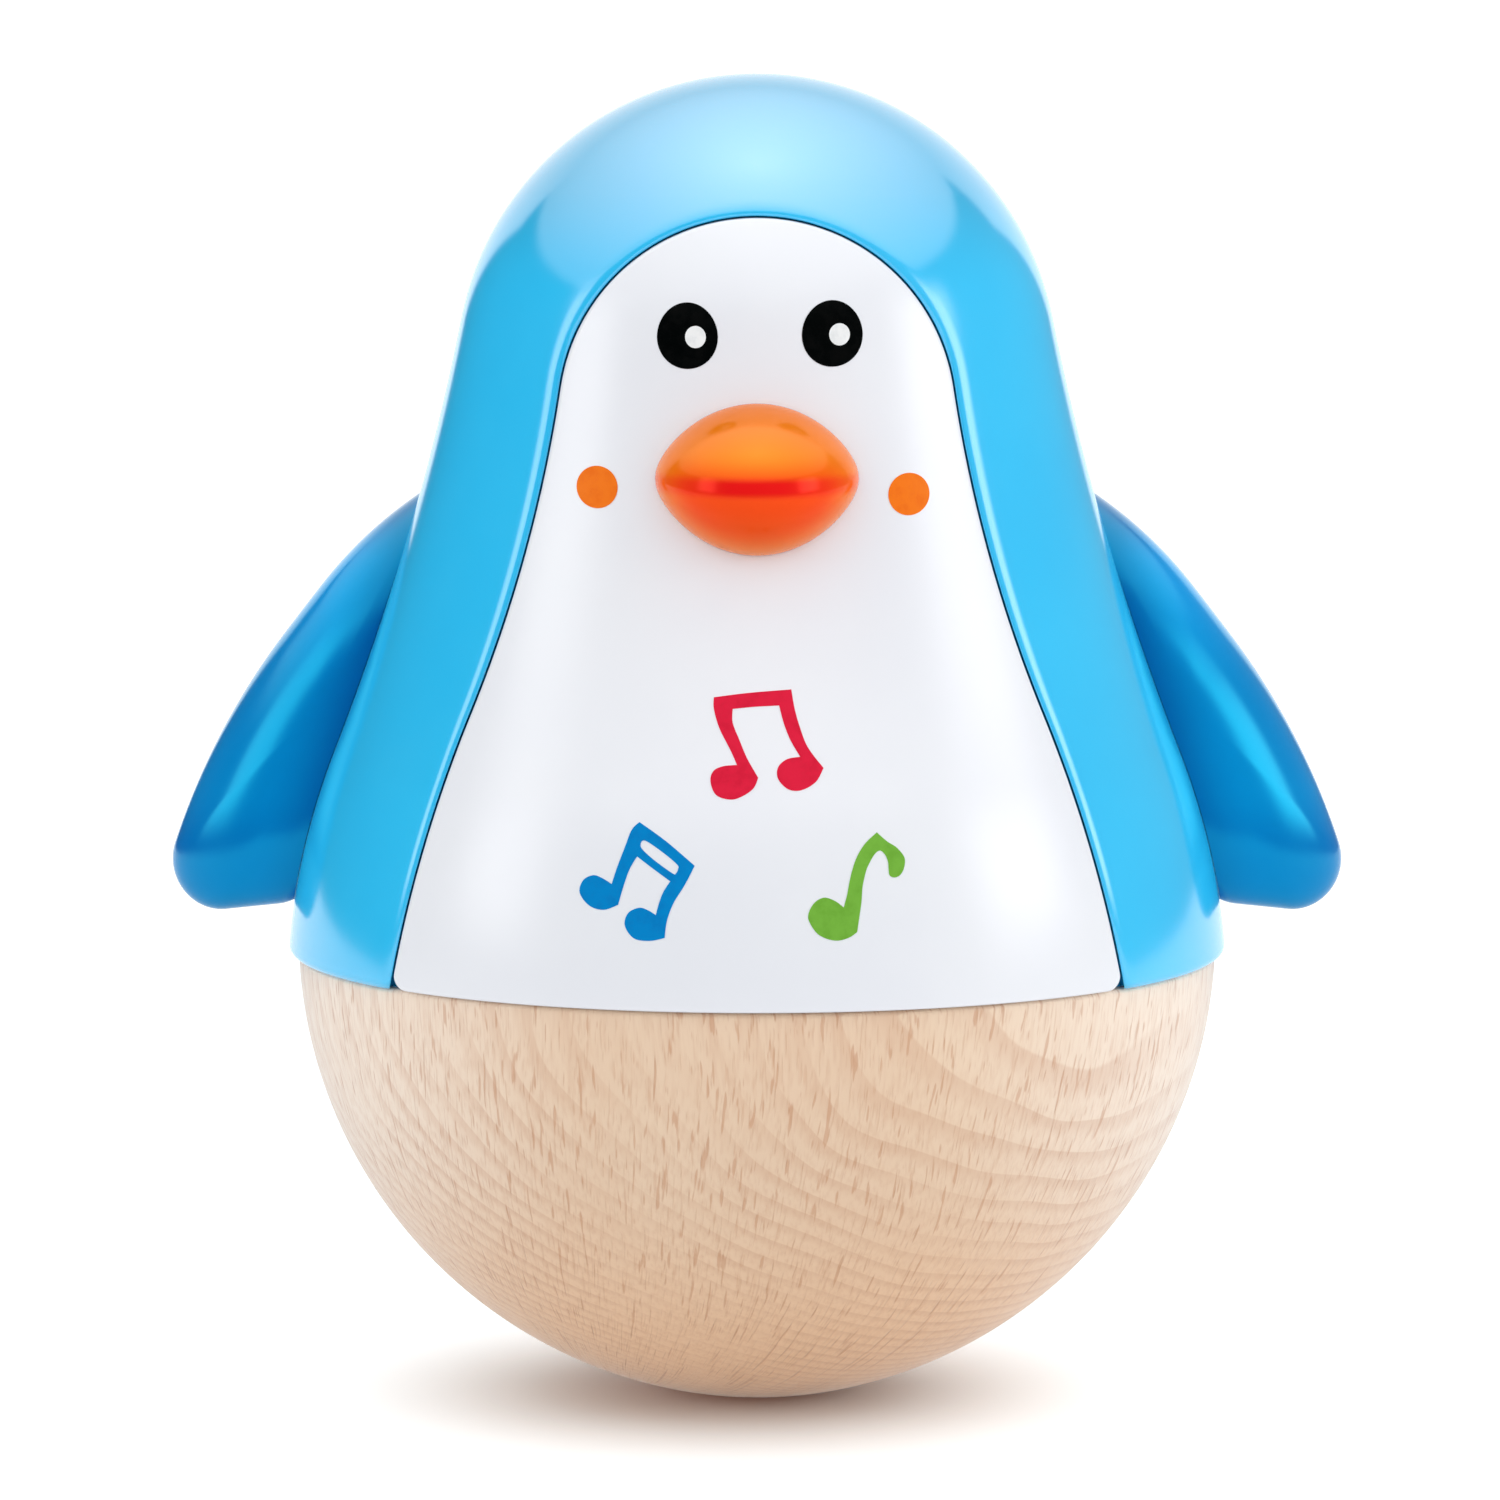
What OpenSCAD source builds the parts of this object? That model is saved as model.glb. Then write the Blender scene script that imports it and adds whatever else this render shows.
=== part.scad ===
// Roly poly penguin with a chime: a turned beech bowl, weighted low down, carries a moulded
// body with a flush front panel, a beak and two wings, and a clapper swings among tone rods.
// Millimetres, +Z up. The origin is the middle of the flat foot, and the face looks along -Y.
// Left and right are the toy's own, so its left wing is on +X.

/* [Wooden base] */
// Height of the bowl, which is the height of the seam
base_h = 42.7; // [40:0.1:46]
// Width of the bowl across its rim
base_d = 87.6; // [82:0.1:94]
// Radius of the bowl's side, seen in section
base_side_r = 44.6; // [44:0.1:52]
// Width of the flat that the toy rests on
foot_d = 10; // [6:0.5:16]
// Wood left under the weight
floor_t = 11; // [8:0.5:14]
// Gap between the deck's bosses and the wide upper step of the pocket
step_clear = 1.9; // [0.5:0.1:4]
// Depth of the wide upper step of the pocket
step_h = 9; // [8:0.5:12]

/* [Weight] */
// Wood left beside the weight, measured in from the rim
ballast_wall = 20.8; // [18:0.1:24]
// Height of the steel weight
ballast_h = 9; // [6:0.5:14]

/* [Body] */
// Height of the whole toy
body_h = 126.1; // [120:0.1:136]
// Radius of the dome of the head
dome_r = 28.6; // [27:0.1:31]
// Radius of the hollow flank below the head
flank_r = 241; // [200:1:300]
// Radius of the full shoulder above the rim
shoulder_r = 66.4; // [56:0.1:80]
// How far the body stands out past the wood
rim_step = 1; // [0.5:0.1:2]
// Lean of the body's side at the rim, in degrees
rim_lean = 4.5; // [2:0.1:8]
// Rounding of the body's lower edge
rim_round = 0.8; // [0.4:0.1:1.2]
// Wall of the mouldings
wall = 2.2; // [1.8:0.1:2.8]
// Height of the thick band inside the rim
band_h = 6.5; // [5.5:0.1:9]
// Thickness of the band at the rim
band_t = 5; // [4.6:0.1:6]

/* [Front panel] */
// Drop from the crown to the top of the panel
panel_drop = 12.6; // [11:0.1:16]
// Radius of the panel's arched top
arch_r = 18.4; // [17:0.1:20]
// Hollow of the panel's upper sides, over half their height
panel_hollow = 0.67; // [0.5:0.01:0.9]
// Bulge of the panel's lower sides, over half their height
panel_bulge = 0.69; // [0.5:0.01:0.9]
// Width of the panel at the rim
panel_w = 67.6; // [62:0.1:72]
// Lean of the panel's sides at the rim, in degrees
panel_lean = 10.2; // [6:0.1:13]
// Rounding of the panel's lower corners
panel_corner_r = 1.2; // [0.8:0.1:2]
// Gap round the panel
panel_gap = 0.3; // [0.2:0.05:0.6]
// Width of the ledge that the panel rests on
ledge_in = 4; // [3.4:0.1:5]
// Width of the ledge's foot behind the wall
ledge_out = 3; // [2:0.1:5]
// Thickness of the ledge
ledge_t = 1.8; // [1.4:0.1:2.2]
// Thickness of the pegs behind the panel
peg_d = 2.2; // [1.8:0.1:2.6]

/* [Beak] */
// Width of the beak
beak_w = 18.6; // [16:0.1:22]
// Height of the beak
beak_h = 13.6; // [12:0.1:16]
// Reach of the beak in front of the panel
beak_reach = 9; // [7:0.1:12]
// Drop from the crown to the middle of the beak
beak_drop = 36.2; // [33:0.1:40]
// Radius of the beak's front ridge
beak_ridge_r = 1.1; // [0.8:0.1:1.6]
// Radius of the beak's side corners
beak_corner_r = 1.7; // [1.2:0.1:2.4]
// Width of the spigot behind the beak
spigot_d = 6; // [5:0.1:7]

/* [Wings] */
// Height of a wing's heel above the seam
wing_rise = 3.3; // [2:0.1:8]
// Height of a wing's point above its heel
wing_len = 39.4; // [34:0.1:46]
// Reach of a wing past the body's rim
wing_reach = 11.6; // [9:0.1:14]
// Radius of a wing's outer edge, seen from the front
wing_edge_r = 69; // [62:0.5:90]
// Rounding of the heel of a wing
wing_heel_r = 4.7; // [3.5:0.1:5]
// Rounding of the point of a wing
wing_point_r = 1.4; // [1:0.1:2.4]
// Thickness of a wing at its fullest
wing_t = 12; // [9:0.1:14]
// Setback of the wings behind the middle
wing_back = 5; // [4:0.1:8]

/* [Chime] */
// Width of the tone rods
rod_d = 3; // [2.4:0.1:4]
// Width of the ring of rods, between their middles
rod_ring_d = 26; // [25:0.1:30]
// Step in length from one rod to the next
rod_step = 4; // [2:0.1:5]
// Width of the clapper ball
ball_d = 12; // [10:0.1:12.5]
// Height of the ball's middle above the deck
ball_rise = 16; // [14:0.1:22]
// Thickness of the deck plate
deck_t = 3; // [2.4:0.1:4]
// Thickness of the chime plate
plate_t = 4; // [3:0.1:5]
// Gap between the bridge and the dome
bridge_clear = 2; // [1:0.1:6]
// Thickness of the bridge
bridge_t = 2.5; // [2:0.1:3]
// Width of the bridge's strap
bridge_w = 8; // [6:0.1:10]
// Width of the swivel's pins
pin_d = 2; // [1.6:0.1:2.4]
// Distance between the swivel's two pins
link_len = 7.5; // [7.2:0.1:9]
// Width of the swivel link along each pin
link_w = 6; // [5:0.1:7]

/* [Screws] */
// Thickness of the wood screws
wood_screw_d = 3; // [2.5:0.1:3.5]
// Length of the wood screws under the head
wood_screw_len = 14; // [12:0.5:18]
// Thickness of the small screws
small_screw_d = 2.4; // [2:0.1:2.8]
// Length of the small screws under the head
small_screw_len = 9; // [8:0.5:11]

/* [Fits] */
// Clearance all round a pin that turns
run_clear = 0.05; // [0.02:0.01:0.1]
// Clearance all round a part that is pressed or screwed in
fit_clear = 0.05; // [0.02:0.01:0.1]
// Clearance beside a part that swings
side_clear = 0.4; // [0.3:0.05:0.6]

/* [Hidden] */
$fn = 96;
long_arc_fn = 360;
ball_fn = 32;
big = 200;
over = 1;

// The bowl in section: one arc from the rim to the edge of the foot
base_r = base_d / 2;
foot_r = foot_d / 2;
bowl_c = arc_centre([foot_r, 0], [base_r, base_h], base_side_r);
ballast_d = base_d - 2 * ballast_wall;
pocket_d = ballast_d + 2 * fit_clear;
ballast_top = floor_t + ballast_h;

// The body in section: dome, hollow flank and full shoulder, each tangent to the next
rim_r = base_r + rim_step;
dome_c = [0, body_h - dome_r];
shoulder_c = [rim_r, base_h] - shoulder_r * [cos(rim_lean), sin(rim_lean)];
flank_c = flank_centre(dome_c, dome_r, shoulder_c, shoulder_r, flank_r);
band_top = base_h + band_h;
bore_r = rim_r - band_t;
round_lift = 0.9;

// The panel from the front: arch, hollow flank and full hip, each tangent to the next
arch_c = [0, body_h - panel_drop - arch_r];
panel_half_h = (arch_c[1] - base_h) / 2;
panel_flank_r = sagged_radius(panel_half_h, panel_hollow);
panel_hip_r = sagged_radius(panel_half_h, panel_bulge);
hip_c = [panel_w / 2, base_h] - panel_hip_r * [cos(panel_lean), sin(panel_lean)];
panel_flank_c = flank_centre(arch_c, arch_r, hip_c, panel_hip_r, panel_flank_r);
panel_corner_z = base_h + panel_gap + round_lift * panel_corner_r;
panel_corner_c = [panel_half(panel_corner_z, -panel_gap) - round_lift * panel_corner_r, panel_corner_z];
window_z = band_top + ledge_in;
peg_inset = ledge_in / 2;
peg_heights = [band_top + peg_inset + peg_d, (band_top + arch_c[1]) / 2, arch_c[1] + arch_r / 2];
peg_tail = 1.5;

// The deck and its snap bead
deck_r = bore_r - fit_clear;
deck_top = base_h + deck_t;
deck_lip_t = 2.4;
deck_lip_top = band_top - side_clear;
bead_r = 0.7;
bead_z = (deck_top + deck_lip_top) / 2;
boss_d = 2.6 * small_screw_d;
boss_floor = 3.5;
boss_h = small_screw_len - deck_t - bridge_t + boss_floor;
deck_screw_count = 4;
deck_screw_r = deck_r - deck_lip_t - wood_screw_d - side_clear;

// Screw heads
wood_head_d = 2 * wood_screw_d;
wood_head_h = 0.6 * wood_screw_d;
small_head_d = 2 * small_screw_d;
small_head_h = 0.6 * small_screw_d;

// The beak on the panel
beak_z = body_h - beak_drop;
beak_back = body_radius(beak_z, 0);
beak_pad_d = small_head_d + spigot_d - small_screw_d;
beak_pad_t = 1;
beak_pad_y = beak_pad_t - body_radius(beak_z + beak_pad_d / 2, wall);
beak_lens_r = (beak_w * beak_w + beak_h * beak_h) / (4 * beak_h);
beak_tilt = atan((body_radius(beak_z - beak_h / 2, 0) - body_radius(beak_z + beak_h / 2, 0)) / beak_h);
beak_ridge_steps = 8;
spigot_root = beak_reach / 3;
washer_t = 1;

// The wings, in the plane through their screws
wing_heel = [rim_r + wing_reach - wing_heel_r, base_h + wing_rise + wing_heel_r];
wing_point = [body_radius(base_h + wing_rise + wing_len, wall), base_h + wing_rise + wing_len];
wing_edge_c = arc_centre(wing_heel, wing_point, wing_edge_r - wing_heel_r);
wing_a0 = angle_of(wing_heel - wing_edge_c);
wing_a1 = angle_of(wing_point - wing_edge_c);
wing_steps = 6;
wing_edge_flat = 0.55;
wing_full_a0 = 54;
wing_full_a1 = 162;
wing_root_share = 0.7;
wing_heel_lift = 1.6;
wing_screw_heights = [for (share = [0.28, 0.6]) base_h + wing_rise + share * wing_len];
wing_boss_h = 1.5;
wing_boss_d = 1.5 * small_head_d;

// The chime
plate_top = deck_top + plate_t;
rod_floor = 1;
rod_seat = deck_top + rod_floor;
rod_ring_r = rod_ring_d / 2;
plate_edge = 2.5;
plate_r = rod_ring_r + rod_d / 2 + plate_edge;
leg_gap = 1;
leg_x = plate_r + leg_gap;
bridge_corner_r = norm([leg_x + bridge_t, bridge_w / 2]);
bridge_top = body_height(bridge_corner_r, wall + bridge_clear);
rod_headroom = 4;
rod_top = bridge_top - bridge_t - rod_headroom;
rods = 4;
bridge_foot = boss_d + 2 * side_clear;
bridge_screw_x = leg_x + bridge_t + bridge_foot / 2;
step_d = 2 * bridge_screw_x + boss_d + 2 * step_clear;
plate_screw_r = rod_ring_r - rod_d / 2;
plate_screw_a = 180 / rods;

// The swivel and the clapper
eye_t = 2;
eye_d = pin_d + 2 * eye_t;
eye_gap = 1;
hanger_z = bridge_top - bridge_t - eye_d / 2 - eye_gap;
cross_z = hanger_z - link_len;
ball_z = deck_top + ball_rise;
ear_t = 2;
fork_gap = link_w + 2 * side_clear;
fork_w = fork_gap + 2 * ear_t;
fork_drop = eye_d / 2 + eye_gap;
stem_d = 3;
web_w = pin_d + eye_t;
hanger_len = fork_w;

// Unit vector from one point to another
function direction(from, to) = (to - from) / norm(to - from);

// Angle of a vector
function angle_of(v) = atan2(v[1], v[0]);

// Centre of the arc of radius r from p to q that bulges to the right of the line p to q
function arc_centre(p, q, r) =
    let (d = q - p, l = norm(d), h = sqrt(r * r - l * l / 4))
    (p + q) / 2 + h / l * [-d[1], d[0]];

// Radius of the arc over a chord that stands off it by sag
function sagged_radius(chord, sag) = (chord * chord / 4 + sag * sag) / (2 * sag);

// Centre of the circle of radius r that touches two circles from outside, on their right
function flank_centre(c1, r1, c2, r2, r) =
    let (l = norm(c2 - c1), e = (c2 - c1) / l, d1 = r1 + r, d2 = r2 + r)
    let (a = (d1 * d1 - d2 * d2 + l * l) / (2 * l), h = sqrt(d1 * d1 - a * a))
    c1 + a * e + h * [-e[1], e[0]];

// Radius at height z of a section made of a head circle, a hollow flank and a hip circle
function arcs_radius(z, head_c, head_r, flank_c, flank_r, hip_c, hip_r) =
    let (join_1 = head_c + head_r * direction(head_c, flank_c))
    let (join_2 = hip_c + hip_r * direction(hip_c, flank_c))
    z > join_1[1] ? head_c[0] + sqrt(head_r * head_r - pow(z - head_c[1], 2))
    : z > join_2[1] ? flank_c[0] - sqrt(flank_r * flank_r - pow(z - flank_c[1], 2))
    : hip_c[0] + sqrt(hip_r * hip_r - pow(z - hip_c[1], 2));

// Radius of the body at height z, d inside its outer surface
function body_radius(z, d) =
    arcs_radius(z, dome_c, dome_r - d, flank_c, flank_r + d, shoulder_c, shoulder_r - d);

// Height at which the body's upper part, d inside its outer surface, has the radius r
function body_height(r, d) =
    r < (dome_r - d) * direction(dome_c, flank_c)[0]
    ? dome_c[1] + sqrt(pow(dome_r - d, 2) - r * r)
    : flank_c[1] - sqrt(pow(flank_r + d, 2) - pow(flank_c[0] - r, 2));

// Half width of the panel opening at height z, grown by g
function panel_half(z, g) =
    arcs_radius(z, arch_c, arch_r + g, panel_flank_c, panel_flank_r - g, hip_c, panel_hip_r + g);

// Depth of the body's surface in front of the middle plane, at x and z, d inside the surface
function front_y(x, z, d) = -sqrt(pow(body_radius(z, d), 2) - x * x);

// Part of the plane between two heights
module height_band(z0, z1) {
    translate([-big, z0])
        square([2 * big, z1 - z0]);
}

// Half plane to the right of the axis
module right_half() {
    translate([0, -big])
        square([big, 2 * big]);
}

// Outline made of a head circle, two hollow flanks and two hip circles, from z0 up
module arcs_outline(z0, head_c, head_r, flank_c, flank_r, hip_c, hip_r) {
    join_1 = head_c + head_r * direction(head_c, flank_c);
    join_2 = hip_c + hip_r * direction(hip_c, flank_c);
    intersection() {
        height_band(z0, big);
        union() {
            translate(head_c)
                circle(head_r, $fn = long_arc_fn);
            difference() {
                translate([-join_2[0] - over, join_2[1]])
                    square([2 * (join_2[0] + over), join_1[1] - join_2[1]]);
                translate(flank_c)
                    circle(flank_r, $fn = long_arc_fn);
                mirror([1, 0])
                    translate(flank_c)
                        circle(flank_r, $fn = long_arc_fn);
            }
            intersection() {
                translate(hip_c)
                    circle(hip_r, $fn = long_arc_fn);
                mirror([1, 0])
                    translate(hip_c)
                        circle(hip_r, $fn = long_arc_fn);
                height_band(-big, join_1[1]);
            }
        }
    }
}

// Half section of the body, d inside its outer surface, from z0 up
module body_section(d, z0) {
    intersection() {
        arcs_outline(z0, dome_c, dome_r - d, flank_c, flank_r + d, shoulder_c, shoulder_r - d);
        right_half();
    }
}

// The body of revolution, d inside its outer surface, from z0 up
module body_solid(d, z0) {
    rotate_extrude()
        body_section(d, z0);
}

// Prism of the panel's outline, grown by g, from z0 up, through the front of the body
module panel_prism(g, z0) {
    rotate([90, 0, 0])
        linear_extrude(big)
            arcs_outline(z0, arch_c, arch_r + g, panel_flank_c, panel_flank_r - g, hip_c, panel_hip_r + g);
}

// A cylinder of diameter d from point p along +Y to y1
module along_y(p, y1, d) {
    translate(p)
        rotate([-90, 0, 0])
            cylinder(h = y1 - p[1], d = d);
}

// A cylinder of diameter d from point p along +X to x1
module along_x(p, x1, d) {
    translate(p)
        rotate([0, 90, 0])
            cylinder(h = x1 - p[0], d = d);
}

// A round-headed screw whose head rests on z = 0 and whose shank points down
module screw(d, len, head_d, head_h) {
    cylinder(h = head_h, d = head_d);
    translate([0, 0, -len])
        cylinder(h = len, d = d);
}

module small_screw() {
    screw(small_screw_d, small_screw_len, small_head_d, small_head_h);
}

// Places of the four wood screws
module at_deck_screws() {
    for (i = [0:deck_screw_count - 1])
        rotate([0, 0, (i + 0.5) * 360 / deck_screw_count])
            translate([deck_screw_r, 0, 0])
                children();
}

// Places of the two screws of the chime plate
module at_plate_screws() {
    for (i = [0:1])
        rotate([0, 0, plate_screw_a + 180 * i])
            translate([plate_screw_r, 0, 0])
                children();
}

// Places of the two screws of the bridge
module at_bridge_screws() {
    for (s = [-1, 1])
        translate([s * bridge_screw_x, 0, 0])
            children();
}

// Places behind the panel of its pegs, as [x, z]
peg_places = [for (z = peg_heights, s = [-1, 1]) [s * (panel_half(z, 0) - peg_inset), z]];

// The pegs of the panel, or the holes for them with a clearance
module panel_pegs(clear) {
    for (p = peg_places)
        along_y(
            [p[0], front_y(p[0], p[1], wall / 2), p[1]],
            front_y(p[0], p[1], wall + ledge_t) + peg_tail,
            peg_d + 2 * clear);
}

// Inner face of a wing screw's boss, at height z
function wing_boss_x(z) = sqrt(pow(body_radius(z, wall), 2) - pow(wing_back, 2)) - wing_boss_h;

// Bosses inside the shell for the wing screws
module wing_bosses() {
    for (s = [-1, 1], z = wing_screw_heights)
        mirror([s < 0 ? 1 : 0, 0, 0])
            along_x([wing_boss_x(z), wing_back, z], big, wing_boss_d);
}

// Holes in the shell for the wing screws
module wing_screw_holes() {
    for (s = [-1, 1], z = wing_screw_heights)
        mirror([s < 0 ? 1 : 0, 0, 0])
            along_x([0, wing_back, z], big, small_screw_d + 2 * fit_clear);
}

module wooden_base() {
    color("burlywood")
        difference() {
            rotate_extrude()
                intersection() {
                    translate(bowl_c)
                        circle(base_side_r);
                    height_band(0, base_h);
                    right_half();
                }
            translate([0, 0, floor_t])
                cylinder(h = base_h, d = pocket_d);
            translate([0, 0, base_h - step_h])
                cylinder(h = base_h, d = step_d);
            translate([0, 0, ballast_top - wood_screw_len])
                cylinder(h = base_h, d = wood_screw_d + 2 * fit_clear);
            at_deck_screws()
                translate([0, 0, deck_top - wood_screw_len])
                    cylinder(h = base_h, d = wood_screw_d + 2 * fit_clear);
        }
}

module ballast_weight() {
    color("dimgray")
        difference() {
            translate([0, 0, floor_t])
                cylinder(h = ballast_h, d = ballast_d);
            cylinder(h = base_h, d = wood_screw_d + 2 * fit_clear);
        }
}

module ballast_screw() {
    color("goldenrod")
        translate([0, 0, ballast_top])
            screw(wood_screw_d, wood_screw_len, wood_head_d, wood_head_h);
}

// Section of the deck: plate, upstanding lip and snap bead
module deck_section() {
    translate([0, base_h])
        square([deck_r, deck_t]);
    translate([deck_r - deck_lip_t, base_h])
        square([deck_lip_t, deck_lip_top - base_h]);
    translate([deck_r, bead_z])
        circle(bead_r);
}

module deck_plate() {
    color("whitesmoke")
        difference() {
            union() {
                rotate_extrude()
                    deck_section();
                at_plate_screws()
                    translate([0, 0, base_h - boss_h])
                        cylinder(h = boss_h + deck_t / 2, d = boss_d);
                at_bridge_screws()
                    translate([0, 0, base_h - boss_h])
                        cylinder(h = boss_h + deck_t / 2, d = boss_d);
            }
            at_deck_screws()
                cylinder(h = big, d = wood_screw_d + 2 * fit_clear);
            at_plate_screws()
                translate([0, 0, plate_top - small_screw_len])
                    cylinder(h = big, d = small_screw_d + 2 * fit_clear);
            at_bridge_screws()
                translate([0, 0, deck_top + bridge_t - small_screw_len])
                    cylinder(h = big, d = small_screw_d + 2 * fit_clear);
        }
}

module deck_screws() {
    color("goldenrod")
        at_deck_screws()
            translate([0, 0, deck_top])
                screw(wood_screw_d, wood_screw_len, wood_head_d, wood_head_h);
}

// The rounding of the body's lower outer edge, as what is cut away in section
module rim_cut() {
    difference() {
        translate([rim_r - rim_round, base_h - over])
            square([rim_round + over, rim_round + over]);
        translate([rim_r - rim_round, base_h + round_lift * rim_round])
            circle(rim_round);
    }
}

// Section of the hollow that the deck fits in, with the groove for its bead
module bore_section() {
    translate([0, base_h - over])
        square([bore_r, band_h + over]);
    translate([0, base_h])
        square([bore_r - over, band_h + over]);
    translate([bore_r, bead_z])
        circle(bead_r + fit_clear);
}

module body_shell() {
    color("deepskyblue")
        difference() {
            rotate_extrude()
                difference() {
                    body_section(0, base_h);
                    rim_cut();
                    bore_section();
                }
            difference() {
                body_solid(wall, band_top);
                panel_prism(ledge_out, -big);
                wing_bosses();
            }
            difference() {
                body_solid(wall + ledge_t, band_top);
                wing_bosses();
            }
            difference() {
                panel_prism(0, base_h - over);
                body_solid(wall, base_h - 2 * over);
            }
            panel_prism(-ledge_in, window_z);
            panel_pegs(fit_clear);
            wing_screw_holes();
        }
}

// What is cut away at the panel's two lower corners, seen from the front
module panel_corner_cuts() {
    for (s = [0, 1])
        mirror([s, 0])
            difference() {
                translate([panel_corner_c[0], base_h])
                    square([2 * panel_corner_r, panel_corner_z - base_h]);
                translate(panel_corner_c)
                    circle(panel_corner_r);
            }
}

module belly_panel() {
    color("white")
        difference() {
            union() {
                intersection() {
                    rotate_extrude()
                        difference() {
                            body_section(0, base_h + panel_gap);
                            body_section(wall - fit_clear, base_h);
                        }
                    panel_prism(-panel_gap, base_h);
                }
                panel_pegs(0);
                intersection() {
                    along_y([0, -big, beak_z], beak_pad_y, beak_pad_d);
                    body_solid(wall / 2, base_h);
                }
            }
            along_y([0, -big, beak_z], 0, spigot_d + 2 * fit_clear);
            rotate([90, 0, 0])
                linear_extrude(big)
                    panel_corner_cuts();
        }
}

// The front view of the beak: two arcs with rounded corners
module beak_outline() {
    intersection() {
        translate([0, beak_h / 2 - beak_lens_r])
            circle(beak_lens_r, $fn = 2 * ball_fn);
        translate([0, beak_lens_r - beak_h / 2])
            circle(beak_lens_r, $fn = 2 * ball_fn);
        square([beak_w - 2 * beak_corner_r, beak_h], center = true);
    }
    for (s = [-1, 1])
        translate([s * (beak_w / 2 - beak_corner_r), 0])
            circle(beak_corner_r, $fn = ball_fn);
}

// The beak's form: its outline on the panel drawn forward to a curved level ridge
module beak_form() {
    half = beak_w / 2 - beak_ridge_r;
    hull() {
        translate([0, -beak_back, beak_z])
            rotate([90 - beak_tilt, 0, 0])
                linear_extrude(wall, center = true)
                    scale([1, 1 / cos(beak_tilt)])
                        beak_outline();
        for (i = [0:beak_ridge_steps])
            let (t = 2 * i / beak_ridge_steps - 1)
            translate([t * half, -beak_back - (beak_reach - beak_ridge_r) * sqrt(1 - t * t), beak_z])
                sphere(beak_ridge_r, $fn = ball_fn);
    }
}

module beak() {
    color("darkorange")
        difference() {
            union() {
                difference() {
                    beak_form();
                    body_solid(-fit_clear, base_h);
                }
                along_y([0, -beak_back - spigot_root, beak_z], beak_pad_y - fit_clear, spigot_d);
            }
            along_y([0, beak_pad_y - small_screw_len, beak_z], 0, small_screw_d + 2 * fit_clear);
        }
}

module beak_screw() {
    color("silver")
        translate([0, beak_pad_y, beak_z])
            rotate([-90, 0, 0]) {
                cylinder(h = washer_t, d = beak_pad_d);
                translate([0, 0, washer_t])
                    screw(small_screw_d, small_screw_len, small_head_d, small_head_h);
            }
}

// A ball at x and z in the wings' plane, flattened fore and aft
module wing_ball(p, r, flat) {
    translate([p[0], wing_back, p[1]])
        scale([1, flat, 1])
            sphere(r, $fn = ball_fn);
}

// A wing's form: balls along its outer edge, its full middle and its root, from heel to point
module wing_form() {
    hull()
        for (i = [0:wing_steps]) {
            t = i / wing_steps;
            a = wing_a0 + t * (wing_a1 - wing_a0);
            edge = wing_edge_c + (wing_edge_r - wing_heel_r) * [cos(a), sin(a)];
            edge_r = wing_heel_r + t * (wing_point_r - wing_heel_r);
            full_r = wing_t / 2 * sin(wing_full_a0 + t * (wing_full_a1 - wing_full_a0));
            root = [body_radius(edge[1], wall), edge[1] + (1 - t) * (full_r - edge_r + wing_heel_lift)];
            wing_ball(edge, edge_r, wing_edge_flat);
            wing_ball((edge + root) / 2, full_r, 1);
            wing_ball(root, wing_root_share * full_r, 1);
        }
}

// The wing on +X
module wing() {
    difference() {
        wing_form();
        body_solid(-fit_clear, base_h);
        for (z = wing_screw_heights)
            along_x(
                [0, wing_back, z],
                wing_boss_x(z) + small_screw_len + side_clear,
                small_screw_d + 2 * fit_clear);
    }
}

module left_wing() {
    color("royalblue")
        wing();
}

module right_wing() {
    color("royalblue")
        mirror([1, 0, 0])
            wing();
}

module wing_screws() {
    color("silver")
        for (s = [0, 1], z = wing_screw_heights)
            mirror([s, 0, 0])
                translate([wing_boss_x(z), wing_back, z])
                    rotate([0, -90, 0])
                        small_screw();
}

module chime_plate() {
    color("gray")
        difference() {
            translate([0, 0, deck_top])
                cylinder(h = plate_t, r = plate_r);
            for (i = [0:rods - 1])
                rotate([0, 0, i * 360 / rods])
                    translate([rod_ring_r, 0, rod_seat])
                        cylinder(h = big, d = rod_d + 2 * fit_clear);
            at_plate_screws()
                cylinder(h = big, d = small_screw_d + 2 * fit_clear);
        }
}

module chime_screws() {
    color("silver")
        at_plate_screws()
            translate([0, 0, plate_top])
                small_screw();
}

// Tone rod i, counted from 0, the longest first
module tone_rod(i) {
    color("lightsteelblue")
        rotate([0, 0, i * 360 / rods])
            translate([rod_ring_r, 0, rod_seat])
                cylinder(h = rod_top - rod_seat - i * rod_step, d = rod_d);
}

module chime_bridge() {
    color("gainsboro")
        difference() {
            union() {
                for (s = [0, 1])
                    mirror([s, 0, 0]) {
                        translate([leg_x, -bridge_w / 2, deck_top])
                            cube([bridge_t, bridge_w, bridge_top - deck_top]);
                        translate([leg_x, -bridge_w / 2, deck_top])
                            cube([bridge_t + bridge_foot, bridge_w, bridge_t]);
                        translate([fork_gap / 2, -eye_d / 2, hanger_z])
                            cube([ear_t, eye_d, bridge_top - hanger_z]);
                        along_x([fork_gap / 2, 0, hanger_z], fork_gap / 2 + ear_t, eye_d);
                    }
                translate([-leg_x, -bridge_w / 2, bridge_top - bridge_t])
                    cube([2 * leg_x, bridge_w, bridge_t]);
            }
            along_x([-hanger_len, 0, hanger_z], hanger_len, pin_d + 2 * fit_clear);
            at_bridge_screws()
                cylinder(h = deck_top + 2 * bridge_t, d = small_screw_d + 2 * fit_clear);
        }
}

module bridge_screws() {
    color("silver")
        at_bridge_screws()
            translate([0, 0, deck_top + bridge_t])
                small_screw();
}

module hanger_pin() {
    color("silver")
        along_x([-hanger_len / 2, 0, hanger_z], hanger_len / 2, pin_d);
}

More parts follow.
